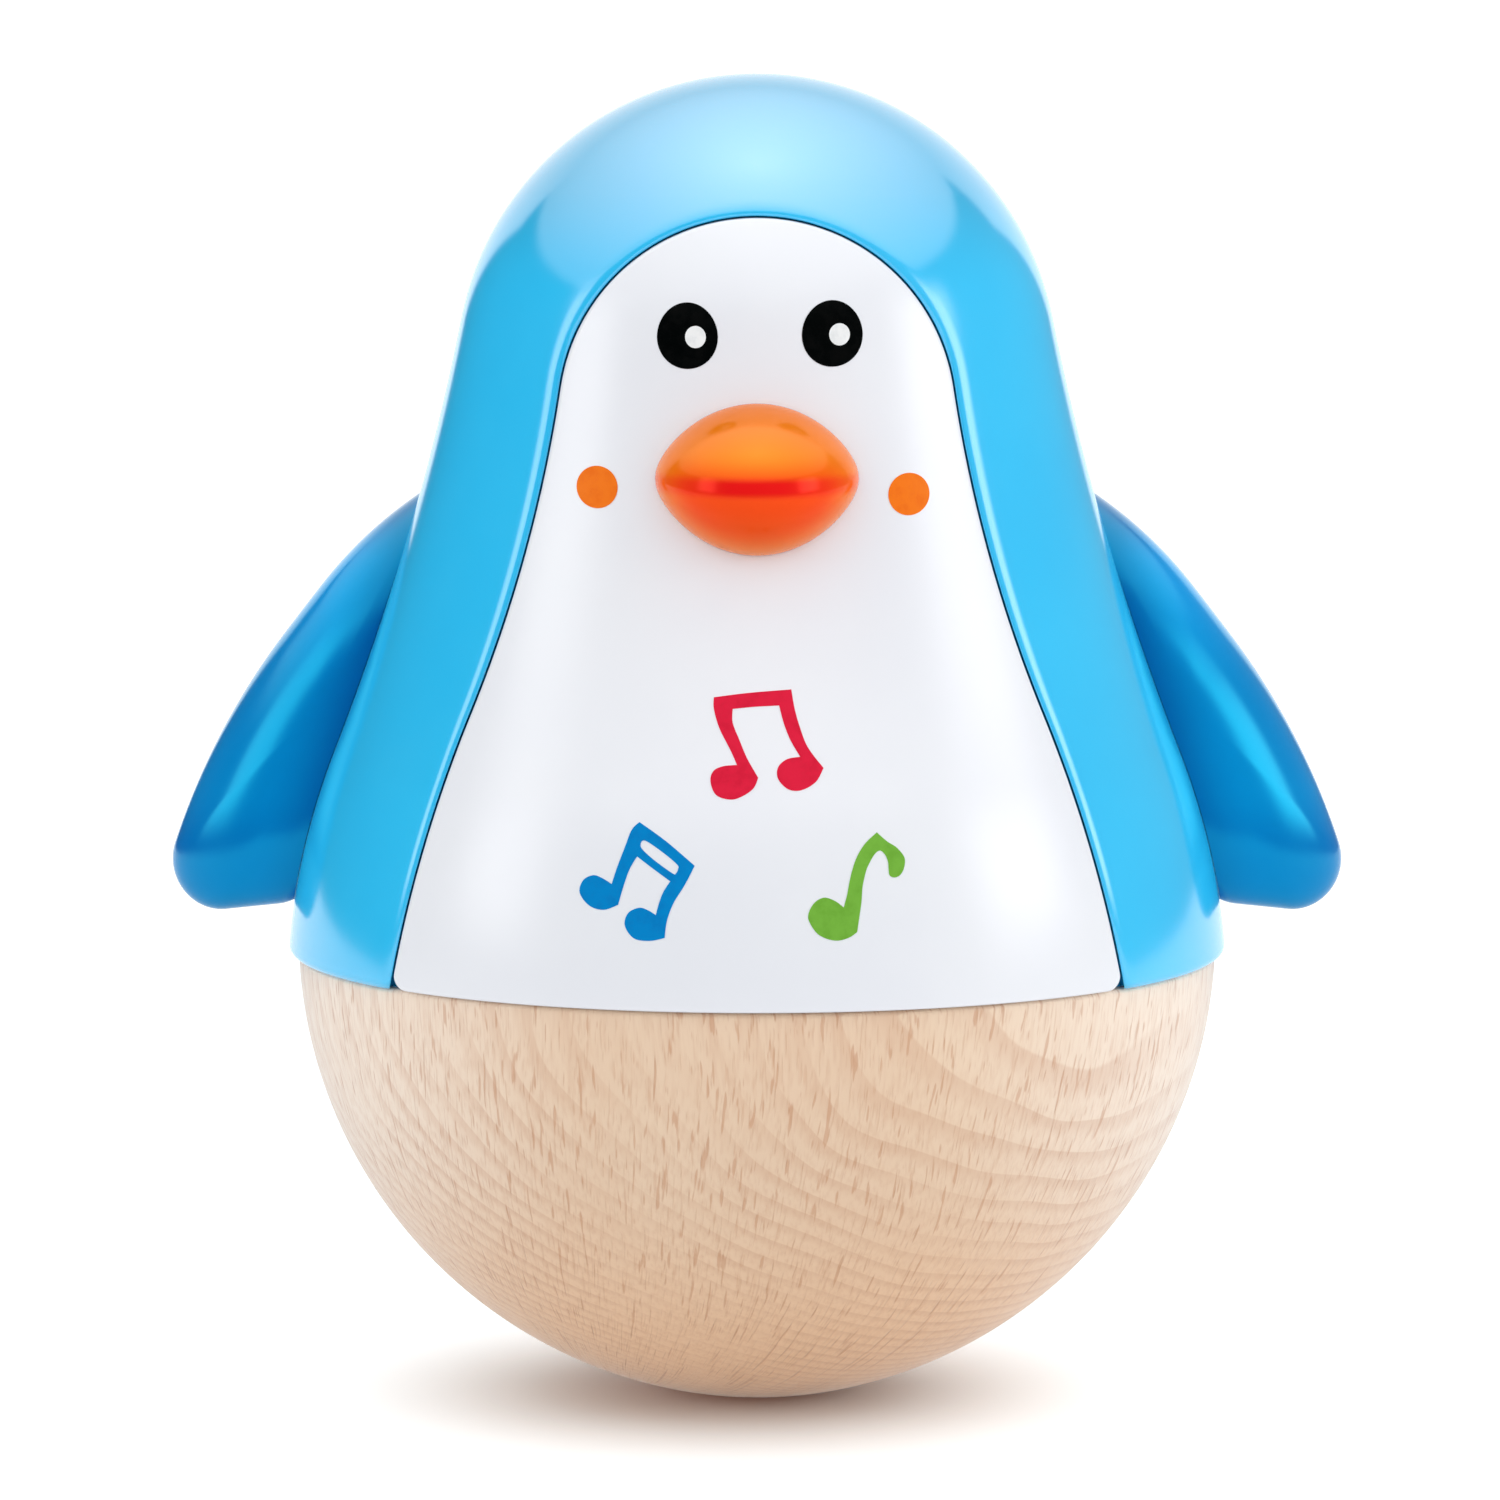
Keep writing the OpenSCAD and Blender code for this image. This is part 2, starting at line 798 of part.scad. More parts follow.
module swivel_link() {
    color("tan")
        difference() {
            union() {
                along_x([-link_w / 2, 0, hanger_z], link_w / 2, eye_d);
                along_y([0, -link_w / 2, cross_z], link_w / 2, eye_d);
                translate([-web_w / 2, -web_w / 2, cross_z])
                    cube([web_w, web_w, link_len]);
            }
            along_x([-link_w, 0, hanger_z], link_w, pin_d + 2 * run_clear);
            along_y([0, -link_w, cross_z], link_w, pin_d + 2 * run_clear);
        }
}

module clapper_pin() {
    color("silver")
        along_y([0, -fork_w / 2, cross_z], fork_w / 2, pin_d);
}

module clapper_stem() {
    color("tan")
        difference() {
            union() {
                for (s = [0, 1])
                    mirror([0, s, 0]) {
                        along_y([0, fork_gap / 2, cross_z], fork_w / 2, eye_d);
                        translate([-eye_d / 2, fork_gap / 2, cross_z - fork_drop - ear_t])
                            cube([eye_d, ear_t, fork_drop + ear_t]);
                    }
                translate([-eye_d / 2, -fork_w / 2, cross_z - fork_drop - ear_t])
                    cube([eye_d, fork_w, ear_t]);
                translate([0, 0, ball_z])
                    cylinder(h = cross_z - fork_drop - ear_t / 2 - ball_z, d = stem_d);
            }
            along_y([0, -fork_w, cross_z], fork_w, pin_d + 2 * fit_clear);
        }
}

module clapper_ball() {
    color("peru")
        translate([0, 0, ball_z])
            difference() {
                sphere(d = ball_d);
                cylinder(h = ball_d, d = stem_d + 2 * fit_clear);
            }
}

wooden_base();
ballast_weight();
ballast_screw();
deck_plate();
deck_screws();
body_shell();
belly_panel();
beak();
beak_screw();
left_wing();
right_wing();
wing_screws();
chime_plate();
chime_screws();
tone_rod(0);  // tone_rod_1
tone_rod(1);  // tone_rod_2
tone_rod(2);  // tone_rod_3
tone_rod(3);  // tone_rod_4
chime_bridge();
bridge_screws();
hanger_pin();
swivel_link();
clapper_pin();
clapper_stem();
clapper_ball();
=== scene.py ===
import math

import bmesh
import bpy
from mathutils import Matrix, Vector


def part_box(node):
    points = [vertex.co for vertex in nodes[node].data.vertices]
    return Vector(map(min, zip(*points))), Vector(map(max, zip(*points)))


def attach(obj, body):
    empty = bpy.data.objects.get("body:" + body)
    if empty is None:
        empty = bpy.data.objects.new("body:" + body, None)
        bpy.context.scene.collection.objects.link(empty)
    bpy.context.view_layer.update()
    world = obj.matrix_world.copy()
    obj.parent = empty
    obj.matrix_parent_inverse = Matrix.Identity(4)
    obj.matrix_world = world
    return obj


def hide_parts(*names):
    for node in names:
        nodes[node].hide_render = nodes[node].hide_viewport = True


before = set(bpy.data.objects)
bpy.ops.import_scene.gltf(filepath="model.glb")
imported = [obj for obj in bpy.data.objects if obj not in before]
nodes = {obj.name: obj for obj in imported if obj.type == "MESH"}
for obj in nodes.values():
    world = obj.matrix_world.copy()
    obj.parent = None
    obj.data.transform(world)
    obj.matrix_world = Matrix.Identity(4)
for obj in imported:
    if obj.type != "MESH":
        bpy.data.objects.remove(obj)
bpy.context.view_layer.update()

# Lengths below are in millimetres, and MM turns them into metres
MM = 0.001

# Points closer than this, in metres, are one
WELD = 1e-7

# Sizes that the solids give
BASE_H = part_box("wooden_base")[1].z / MM
BASE_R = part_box("wooden_base")[1].x / MM
RIM_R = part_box("body_shell")[1].x / MM
BODY_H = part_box("body_shell")[1].z / MM
POCKET_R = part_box("ballast_weight")[1].x / MM
POCKET_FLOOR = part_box("ballast_weight")[0].z / MM
WING_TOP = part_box("left_wing")[1].z / MM
WING_HEEL_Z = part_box("left_wing")[0].z / MM

# The bowl
BOWL_SIDE_R = 44.6
FOOT_R = 5.0
BOWL_EDGE_R = 0.5
STEP_R = 29.1
STEP_H = 9.0

# The body
DOME_R = 28.6
FLANK_R = 241.0
SHOULDER_R = 66.4
RIM_LEAN = math.radians(4.5)
RIM_ROUND = 0.8
WALL = 2.2
LIP_W = 1.4
LIP_DEPTH = 0.5
LIP_BAND = 0.25

# The front panel and the ledge behind it
PANEL_TOP = BODY_H - 12.6
ARCH_R = 18.4
PANEL_HOLLOW = 0.67
PANEL_BULGE = 0.69
PANEL_W = 67.6
PANEL_LEAN = math.radians(10.2)
PANEL_GAP = 0.18
PANEL_EDGE_R = 0.22
PANEL_BAND = 0.15
PANEL_CORNER_R = 1.2
LEDGE_IN = 4.0
LEDGE_OUT = 3.0
LEDGE_T = 1.8
SEAT_GAP = 0.05

# The beak
BEAK_W = 18.6
BEAK_H = 13.6
BEAK_REACH = 9.0
BEAK_Z = BODY_H - 36.2
BEAK_SWELL = 0.78
BEAK_BLUNT = 2.8
BEAK_SECTION = 1.55
BEAK_RIDGE = 0.16

# The wings
WING_REACH = 11.6
WING_EDGE_R = 69.0
WING_HEEL_R = 4.7
WING_POINT_R = 1.4
WING_T = 12.0
WING_BACK = 5.0
WING_FULL_A = (54.0, 162.0)
WING_ROOT_SHARE = 0.7
WING_HEEL_LIFT = 1.6
WING_SWEEP = 0.34
WING_LEAN = 0.26
WING_SECTION = 2.5

# Prints: how far they stand off the panel, and how thick a note is before it is pressed on
PRINT_T = 0.04
SLAB_T = 1.0


# Arcs

def arc_centre(p, q, r):
    """Centre of the arc of radius r from p to q that bulges to the right of the line p to q."""
    d = q - p
    rise = math.sqrt(r * r - d.length_squared / 4)
    return (p + q) / 2 + rise / d.length * Vector((-d.y, d.x))


def sagged_radius(chord, sag):
    """Radius of the arc over a chord that stands off it by sag."""
    return (chord * chord / 4 + sag * sag) / (2 * sag)


class Side:
    """A side made of a head arc, a hollow flank and a full hip, each tangent to the next."""

    def __init__(self, head_c, head_r, hip_c, hip_r, flank_r):
        self.head_c, self.head_r = head_c, head_r
        self.hip_c, self.hip_r = hip_c, hip_r
        self.flank_r = flank_r
        gap = hip_c - head_c
        span = gap.length
        e = gap / span
        d1, d2 = head_r + flank_r, hip_r + flank_r
        along = (d1 * d1 - d2 * d2 + span * span) / (2 * span)
        off = math.sqrt(d1 * d1 - along * along)
        self.flank_c = head_c + along * e + off * Vector((-e.y, e.x))
        self.head_dir = (self.flank_c - head_c).normalized()
        self.hip_dir = (self.flank_c - hip_c).normalized()

    def half(self, z, grow=0.0):
        """Half width at height z, with the side moved out by grow."""
        head_r, hip_r, flank_r = self.head_r + grow, self.hip_r + grow, self.flank_r - grow
        if z > self.head_c.y + head_r * self.head_dir.y:
            return self.head_c.x + math.sqrt(max(head_r ** 2 - (z - self.head_c.y) ** 2, 0.0))
        if z > self.hip_c.y + hip_r * self.hip_dir.y:
            return self.flank_c.x - math.sqrt(flank_r ** 2 - (z - self.flank_c.y) ** 2)
        return self.hip_c.x + math.sqrt(hip_r ** 2 - (z - self.hip_c.y) ** 2)

    def points(self, hip_start, grow, hip_steps, flank_steps, head_steps):
        """Points up the side from the angle hip_start on the hip, closest there, to the top of the head."""
        hip_end = math.atan2(self.hip_dir.y, self.hip_dir.x)
        head_start = math.atan2(self.head_dir.y, self.head_dir.x)
        found = []
        for i in range(hip_steps):
            a = hip_start + (hip_end - hip_start) * (i / hip_steps) ** 2
            found.append(self.hip_c + (self.hip_r + grow) * Vector((math.cos(a), math.sin(a))))
        for i in range(flank_steps):
            a = hip_end + (head_start - hip_end) * i / flank_steps
            found.append(self.flank_c - (self.flank_r - grow) * Vector((math.cos(a), math.sin(a))))
        for i in range(head_steps + 1):
            a = head_start + (math.pi / 2 - head_start) * i / head_steps
            found.append(self.head_c + (self.head_r + grow) * Vector((math.cos(a), math.sin(a))))
        found[-1].x = 0.0
        return found

    def hip_angle(self, z, grow):
        """Angle on the hip at height z."""
        return math.asin((z - self.hip_c.y) / (self.hip_r + grow))


DOME_C = Vector((0.0, BODY_H - DOME_R))
BODY = Side(
    DOME_C, DOME_R,
    Vector((RIM_R, BASE_H)) - SHOULDER_R * Vector((math.cos(RIM_LEAN), math.sin(RIM_LEAN))),
    SHOULDER_R, FLANK_R)
ARCH_C = Vector((0.0, PANEL_TOP - ARCH_R))
PANEL_HALF_H = (ARCH_C.y - BASE_H) / 2
PANEL_HIP_R = sagged_radius(PANEL_HALF_H, PANEL_BULGE)
PANEL = Side(
    ARCH_C, ARCH_R,
    Vector((PANEL_W / 2, BASE_H)) - PANEL_HIP_R * Vector((math.cos(PANEL_LEAN), math.sin(PANEL_LEAN))),
    PANEL_HIP_R, sagged_radius(PANEL_HALF_H, PANEL_HOLLOW))


def body_radius(z, depth=0.0):
    """Radius of the body at height z, a depth inside its outer surface."""
    return BODY.half(z, -depth)


def on_front(x, z, depth=0.0):
    """Point of the body's front at x and z, a depth inside its outer surface."""
    r = body_radius(z, depth)
    return Vector((x, -math.sqrt(max(r * r - x * x, 0.0)), z))


# Meshes

def shade_smooth(piece):
    """Shades all faces of a piece smooth."""
    piece.data.polygons.foreach_set("use_smooth", [True] * len(piece.data.polygons))


def add_object(name, points, faces, material):
    """A smooth mesh object from points in millimetres."""
    mesh = bpy.data.meshes.new(name)
    mesh.from_pydata([p * MM for p in points], [], faces)
    mesh.validate()
    bm = bmesh.new()
    bm.from_mesh(mesh)
    bmesh.ops.remove_doubles(bm, verts=bm.verts, dist=WELD)
    bmesh.ops.dissolve_degenerate(bm, edges=bm.edges, dist=WELD)
    bmesh.ops.recalc_face_normals(bm, faces=bm.faces)
    bm.to_mesh(mesh)
    bm.free()
    piece = bpy.data.objects.new(name, mesh)
    shade_smooth(piece)
    bpy.context.scene.collection.objects.link(piece)
    mesh.materials.append(material)
    return piece


def sharpen(piece, degrees=40):
    """Marks edges that turn by more than degrees as sharp."""
    bm = bmesh.new()
    bm.from_mesh(piece.data)
    for edge in bm.edges:
        if len(edge.link_faces) == 2 and edge.calc_face_angle() > math.radians(degrees):
            edge.smooth = False
    bm.to_mesh(piece.data)
    bm.free()
    return piece


def strips(rows, closed=False):
    """Points and quads of rows that all have as many points, each row joined to the next."""
    width = len(rows[0])
    points = [p for row in rows for p in row]
    last = width if closed else width - 1
    faces = []
    for j in range(len(rows) - 1):
        for i in range(last):
            k = (i + 1) % width
            faces.append((j * width + i, j * width + k, (j + 1) * width + k, (j + 1) * width + i))
    return points, faces


def gathered(parts):
    """Points and faces of several parts as one list of each."""
    points, faces = [], []
    for some_points, some_faces in parts:
        faces += [tuple(i + len(points) for i in face) for face in some_faces]
        points += some_points
    return points, faces


def quarter_round(r, steps):
    """Insets and depths along a quarter round, from the face to the side."""
    turns = [math.pi / 2 * i / steps for i in range(steps + 1)]
    return [(r * (1 - math.sin(a)), r * (1 - math.cos(a))) for a in turns]


def lathe(name, profile, material, steps=192):
    """A closed solid turned about Z from a profile of radius and height that starts and ends on the axis."""
    rows = []
    for r, z in profile:
        turn = [2 * math.pi * i / steps for i in range(steps)]
        rows.append([Vector((r * math.cos(a), r * math.sin(a), z)) for a in turn])
    points, faces = strips(rows, closed=True)
    return add_object(name, points, faces, material)


def place(piece, node):
    """Sets a piece on the fixed body in place of a CAD node."""
    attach(piece, "root")
    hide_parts(node)
    return piece


# Materials

def srgb(r, g, b):
    """Linear colour from the 0 to 255 values of a screen colour."""
    def linear(c):
        c /= 255
        return c / 12.92 if c <= 0.04045 else ((c + 0.055) / 1.055) ** 2.4
    return (linear(r), linear(g), linear(b), 1.0)


class Nodes:
    """A node tree with short ways to add nodes."""

    def __init__(self, tree):
        self.tree = tree

    def link(self, value, socket):
        """Links a socket, or sets a constant."""
        if isinstance(value, bpy.types.NodeSocket):
            self.tree.links.new(value, socket)
        else:
            socket.default_value = value

    def node(self, kind, inputs, **settings):
        """Adds a node, with its settings, and links or sets its inputs."""
        node = self.tree.nodes.new("ShaderNode" + kind)
        for key, value in settings.items():
            setattr(node, key, value)
        for key, value in inputs.items():
            self.link(value, node.inputs[key])
        return node

    def math(self, operation, *values):
        return self.node("Math", dict(enumerate(values)), operation=operation).outputs[0]

    def vector(self, operation, *values):
        return self.node("VectorMath", dict(enumerate(values)), operation=operation).outputs[0]

    def axes(self, vector):
        return self.node("SeparateXYZ", {0: vector}).outputs

    def joined(self, x, y, z):
        return self.node("CombineXYZ", {0: x, 1: y, 2: z}).outputs[0]

    def ramp(self, value, low, high, start=0.0, end=1.0, shape="SMOOTHSTEP"):
        """A step of value from low to high."""
        inputs = {"Value": value, "From Min": low, "From Max": high, "To Min": start, "To Max": end}
        return self.node("MapRange", inputs, interpolation_type=shape).outputs["Result"]

    def ramp_mm(self, length, low, high, start=0.0, end=1.0):
        """A step of a length from low to high in millimetres."""
        return self.ramp(length, low * MM, high * MM, start, end)

    def noise(self, vector, scale, detail=2.0, roughness=0.5):
        inputs = {"Vector": vector, "Scale": scale, "Detail": detail, "Roughness": roughness}
        return self.node("TexNoise", inputs).outputs["Fac"]

    def mix(self, share, first, second):
        """A colour between two."""
        node = self.tree.nodes.new("ShaderNodeMix")
        node.data_type = "RGBA"
        for value, index in ((share, 0), (first, 6), (second, 7)):
            self.link(value, node.inputs[index])
        return node.outputs[2]


class Shader(Nodes):
    """A material's node tree, with its shader and the place on the piece."""

    def __init__(self, name):
        self.material = bpy.data.materials.new(name)
        self.material.use_nodes = True
        super().__init__(self.material.node_tree)
        self.bsdf = self.tree.nodes["Principled BSDF"]
        self.coords = self.tree.nodes.new("ShaderNodeTexCoord").outputs["Object"]

    def set(self, **inputs):
        """Sets or links the shader's own inputs, named with underscores for spaces."""
        for key, value in inputs.items():
            self.link(value, self.bsdf.inputs[key.replace("_", " ")])

    def colour(self):
        """The socket that gives the base colour so far."""
        return self.bsdf.inputs["Base Color"].links[0].from_socket

    def bump(self, height, distance):
        """Bumps the surface by a height, where 1 stands for the distance in metres."""
        inputs = {"Height": height, "Distance": distance, "Strength": 1.0}
        self.set(Normal=self.node("Bump", inputs).outputs["Normal"])


WHITE = (1.0, 1.0, 1.0, 1.0)

# Moulded plastic: how far haze changes its roughness, and the height of its ripple
HAZE = 0.06
RIPPLE = 0.004


def moulded(name, colour, deep, roughness, ior, tint=WHITE):
    """Glossy moulded plastic: a slight cloudiness of colour, handling haze and a faint ripple."""
    s = Shader(name)
    cloud = s.noise(s.coords, scale=38.0, detail=3.0)
    haze = s.noise(s.coords, scale=160.0, detail=4.0, roughness=0.6)
    s.set(
        Base_Color=s.mix(s.ramp(cloud, 0.35, 0.65), colour, deep),
        Roughness=s.ramp(haze, 0.3, 0.7, roughness * (1 - HAZE), roughness * (1 + HAZE)),
        IOR=ior,
        Specular_Tint=tint)
    s.bump(s.noise(s.coords, scale=240.0, detail=1.0), RIPPLE * MM)
    return s


# Painted shade on the beak: heights over its ridge at which its tones turn from the redder shade below, and
# how far out the ridge's painted red shade fades
BEAK_SHADE_TOP = (-0.4, 3.0)
BEAK_DEEP_SHADE = (-6.0, -2.0)
RIDGE_SHADE_FOOT = (-1.4, -0.5)
RIDGE_SHADE_HEAD = (1.0, 0.1)
RIDGE_SHADE_FADE = (2.0, 8.5)
RIDGE_SHADE_SHARE = (1.0, 0.4)


def beak_plastic(name):
    """Moulded orange plastic with painted shade: redder along the beak's ridge and below it, and orange
    above the ridge and at its outline.
    """
    shine = (1.0, 0.75, 0.5, 1.0)
    s = moulded(name, srgb(250, 136, 14), srgb(247, 129, 10), roughness=0.15, ior=1.22, tint=shine)
    x, _, z = s.axes(s.coords)
    rise = s.math("SUBTRACT", z, BEAK_Z * MM)
    # Painted shade: below the ridge the beak turns redder, deepest low down
    low = s.mix(s.ramp_mm(rise, *BEAK_DEEP_SHADE), srgb(250, 92, 22), srgb(248, 76, 20))
    colour = s.mix(s.ramp_mm(rise, *BEAK_SHADE_TOP), low, s.colour())
    # The outline keeps the orange, free of the painted shade
    across = s.math("POWER", s.math("DIVIDE", x, BEAK_W / 2 * MM), 2.0)
    up = s.math("POWER", s.math("DIVIDE", rise, BEAK_H / 2 * MM), 2.0)
    outer = s.ramp(s.math("ADD", across, up), 0.4, 1.0)
    colour = s.mix(outer, colour, srgb(249, 128, 8))
    # Painted shade: a red band along the ridge, weaker toward the beak's ends
    ridge_shade = s.math("MULTIPLY", s.ramp_mm(rise, *RIDGE_SHADE_FOOT), s.ramp_mm(rise, *RIDGE_SHADE_HEAD))
    fade = s.ramp_mm(s.math("ABSOLUTE", x), *RIDGE_SHADE_FADE, *RIDGE_SHADE_SHARE)
    s.set(
        Base_Color=s.mix(s.math("MULTIPLY", ridge_shade, fade), colour, srgb(240, 24, 24)),
        Metallic=0.08)
    return s


# Seen from the front, the wings' roots lie about on a line between these heights and half widths
ROOT_Z = (50.0, 80.0)
ROOT_HALF = (42.4, 34.2)

# Over these heights the wings' colour turns to a painted shade at the heel and to a painted light at the
# point
HEEL_SHADE_Z = (58.0, 51.0)
POINT_LIGHT_Z = (66.0, 84.0)

# Over this distance out from the root, their colour turns from the painted shade at the root
ROOT_SHADE = (-1.0, 6.5)


def wing_plastic(name):
    """Moulded plastic, with painted shade toward the body and the heel and painted light toward the point.
    """
    shine = (0.03, 0.9, 1.0, 1.0)
    s = moulded(name, srgb(0, 136, 207), srgb(0, 131, 202), roughness=0.17, ior=2.0, tint=shine)
    x, _, z = s.axes(s.coords)
    root = s.ramp(z, *[length * MM for length in ROOT_Z + ROOT_HALF], "LINEAR")
    off = s.math("SUBTRACT", s.math("ABSOLUTE", x), root)
    # Painted shade toward the heel, then painted light toward the point
    colour = s.mix(s.ramp_mm(z, *HEEL_SHADE_Z), s.colour(), srgb(0, 110, 188))
    colour = s.mix(s.ramp_mm(z, *POINT_LIGHT_Z), colour, srgb(0, 162, 240))
    # Painted shade where the wing meets the body
    s.set(Base_Color=s.mix(s.ramp_mm(off, *ROOT_SHADE), srgb(0, 82, 160), colour))
    return s


def shell_plastic(name):
    """Moulded plastic, with painted shade: a little deeper in colour where it faces up."""
    s = moulded(name, srgb(44, 198, 250), srgb(38, 194, 248), roughness=0.13, ior=1.85)
    up = s.axes(s.node("TexCoord", {}).outputs["Normal"])[2]
    # Painted shade on faces that look up
    s.set(Base_Color=s.mix(s.ramp(up, 0.3, 0.7), s.colour(), srgb(44, 178, 226)))
    return s


SHELL_BLUE = shell_plastic("shell_blue").material
WING_BLUE = wing_plastic("wing_blue").material
PANEL_WHITE = moulded(
    "panel_white", srgb(236, 238, 243), srgb(233, 235, 241), roughness=0.24, ior=1.55).material
BEAK_ORANGE = beak_plastic("beak_orange").material
INNER_PLASTIC = moulded(
    "inner_plastic", srgb(232, 232, 228), srgb(222, 222, 218), roughness=0.35, ior=1.5).material


def printed(name, colour, deep):
    """Pad-printed ink: a hair uneven in colour, a little less glossy than the panel."""
    s = Shader(name)
    speck = s.noise(s.coords, scale=900.0, detail=3.0, roughness=0.6)
    s.set(
        Base_Color=s.mix(s.ramp(speck, 0.4, 0.7), colour, deep),
        Roughness=s.ramp(speck, 0.3, 0.7, 0.22, 0.32),
        Specular_IOR_Level=0.04)
    return s.material


# The wood's upright grain: its pith's place, its rings' width and how far they wander, and its flecks' depth
PITH_X = -12.7
PITH_Y = 8.0
RING_W = 1.18
RING_WANDER = 3.5
FLECK_DEPTH = 0.02
FIBRE_SCALE = (2600.0, 2600.0, 150.0)

# How strongly the darker tone shows in its rings, its fibre and its large and small rays
RING_SHARE = (0.06, 0.24)
FIBRE_SHARE = 0.16
RAY_SHARE = 0.42
SMALL_RAY_SHARE = 0.2


def beech(name, light, dark, painted_sheen, low, fleck):
    """Beech, with rings round its pith and rays as flecks, and painted light: a painted sheen that makes it
    paler at the sides, and the low colour painted on low down, warmer on the bowl as painted bounce light.
    """
    s = Shader(name)
    warp = s.node("TexNoise", {"Vector": s.coords, "Scale": 30.0, "Detail": 2.0}).outputs["Color"]
    reach = (RING_WANDER * MM, RING_WANDER * MM, 0.0)
    wander = s.vector("MULTIPLY", s.vector("SUBTRACT", warp, (0.5, 0.5, 0.5)), reach)
    spot = s.vector("ADD", s.coords, wander)
    x, y, z = s.axes(s.vector("SUBTRACT", spot, (PITH_X * MM, PITH_Y * MM, 0.0)))
    away = s.math("SQRT", s.math("ADD", s.math("MULTIPLY", x, x), s.math("MULTIPLY", y, y)))
    turn_x, turn_y = s.math("DIVIDE", x, away), s.math("DIVIDE", y, away)

    def streaks(round_scale, height_scale, none, full):
        """Streaks that stand upright and run in toward the pith."""
        space = s.joined(
            s.math("MULTIPLY", turn_x, round_scale),
            s.math("MULTIPLY", turn_y, round_scale),
            s.math("MULTIPLY", z, height_scale))
        return s.ramp(s.noise(space, scale=1.0, detail=1.0), none, full)

    ring = s.math("FRACT", s.math("DIVIDE", away, RING_W * MM))
    late = s.math("MULTIPLY", s.ramp(ring, 0.35, 0.92), s.ramp(ring, 0.99, 0.94))
    late = s.math("MULTIPLY", late, s.ramp(s.noise(spot, scale=60.0), 0.3, 0.7, *RING_SHARE))
    rays = streaks(round_scale=120.0, height_scale=300.0, none=0.62, full=0.70)
    small_rays = streaks(round_scale=230.0, height_scale=420.0, none=0.55, full=0.72)
    fibre = s.noise(s.vector("MULTIPLY", spot, FIBRE_SCALE), scale=1.0, detail=2.0)
    side = s.math("ABSOLUTE", s.axes(s.coords)[0])
    base = s.mix(s.ramp(s.noise(spot, scale=40.0, detail=3.0), 0.3, 0.7), light, dark)
    # Painted sheen: paler toward the sides
    base = s.mix(s.ramp_mm(side, 14.0, 42.0, 0.0, 0.9), base, painted_sheen)
    # Painted light low down: the low colour, which is warm bounce light on the bowl
    base = s.mix(s.ramp_mm(z, 30.0, 0.0), base, low)
    base = s.mix(s.math("MULTIPLY", s.ramp(fibre, 0.4, 0.8), FIBRE_SHARE), base, fleck)
    base = s.mix(late, base, fleck)
    base = s.mix(s.math("MULTIPLY", small_rays, SMALL_RAY_SHARE), base, fleck)
    base = s.mix(s.math("MULTIPLY", rays, RAY_SHARE), base, fleck)
    s.set(
        Base_Color=base,
        Roughness=s.ramp(fibre, 0.3, 0.7, 0.42, 0.55),
        Sheen_Weight=0.5,
        Sheen_Roughness=0.3)
    s.bump(s.math("MULTIPLY", s.math("ADD", rays, small_rays), -1.0), FLECK_DEPTH * MM)
    return s.material


BEECH = beech(
    "beech",
    light=srgb(237, 210, 182),
    dark=srgb(233, 203, 174),
    painted_sheen=srgb(250, 234, 218),
    low=srgb(247, 204, 164),
    fleck=srgb(190, 124, 80))
BEAD_WOOD = beech(
    "bead_wood",
    light=srgb(226, 192, 150),
    dark=srgb(214, 176, 132),
    painted_sheen=srgb(226, 192, 150),
    low=srgb(214, 176, 132),
    fleck=srgb(170, 120, 76))

# Turned metal: the depth of its marks, how far they change its roughness, and its darker tone
TURNING_DEPTH = 0.01
TURNING_ROUGHNESS = (0.8, 1.3)
METAL_SHADE = 0.88


def metal(name, colour, roughness, turned):
    """Metal with fine turning marks and a faint cloudiness."""
    s = Shader(name)
    marks = s.math("MULTIPLY", s.axes(s.coords)[2], turned)
    lines = s.noise(s.joined(marks, marks, marks), scale=1.0, detail=3.0, roughness=0.7)
    cloud = s.noise(s.coords, scale=90.0, detail=3.0)
    shade = tuple(c * METAL_SHADE for c in colour[:3]) + (1.0,)
    smooth, rough = [roughness * share for share in TURNING_ROUGHNESS]
    s.set(
        Base_Color=s.mix(s.ramp(cloud, 0.3, 0.7), colour, shade),
        Metallic=1.0,
        Roughness=s.ramp(lines, 0.3, 0.7, smooth, rough))
    s.bump(lines, TURNING_DEPTH * MM)
    return s.material


CAST_WEIGHT = metal("cast_weight", srgb(120, 122, 126), roughness=0.45, turned=1400.0)
SCREW_STEEL = metal("screw_steel", srgb(196, 190, 176), roughness=0.3, turned=5200.0)
ROD_STEEL = metal("rod_steel", srgb(206, 208, 212), roughness=0.18, turned=7000.0)

INK_BLACK = printed("ink_black", srgb(2, 4, 4), srgb(5, 6, 6))
INK_WHITE = printed("ink_white", srgb(238, 240, 240), srgb(226, 229, 230))
INK_ORANGE = printed("ink_orange", srgb(243, 121, 28), srgb(238, 112, 22))
INK_RED = printed("ink_red", srgb(222, 33, 64), srgb(212, 28, 58))
INK_BLUE = printed("ink_blue", srgb(0, 131, 200), srgb(0, 122, 192))
INK_GREEN = printed("ink_green", srgb(117, 178, 64), srgb(108, 168, 56))


# The wooden bowl

BOWL_STEPS = 72
EDGE_STEPS = 8


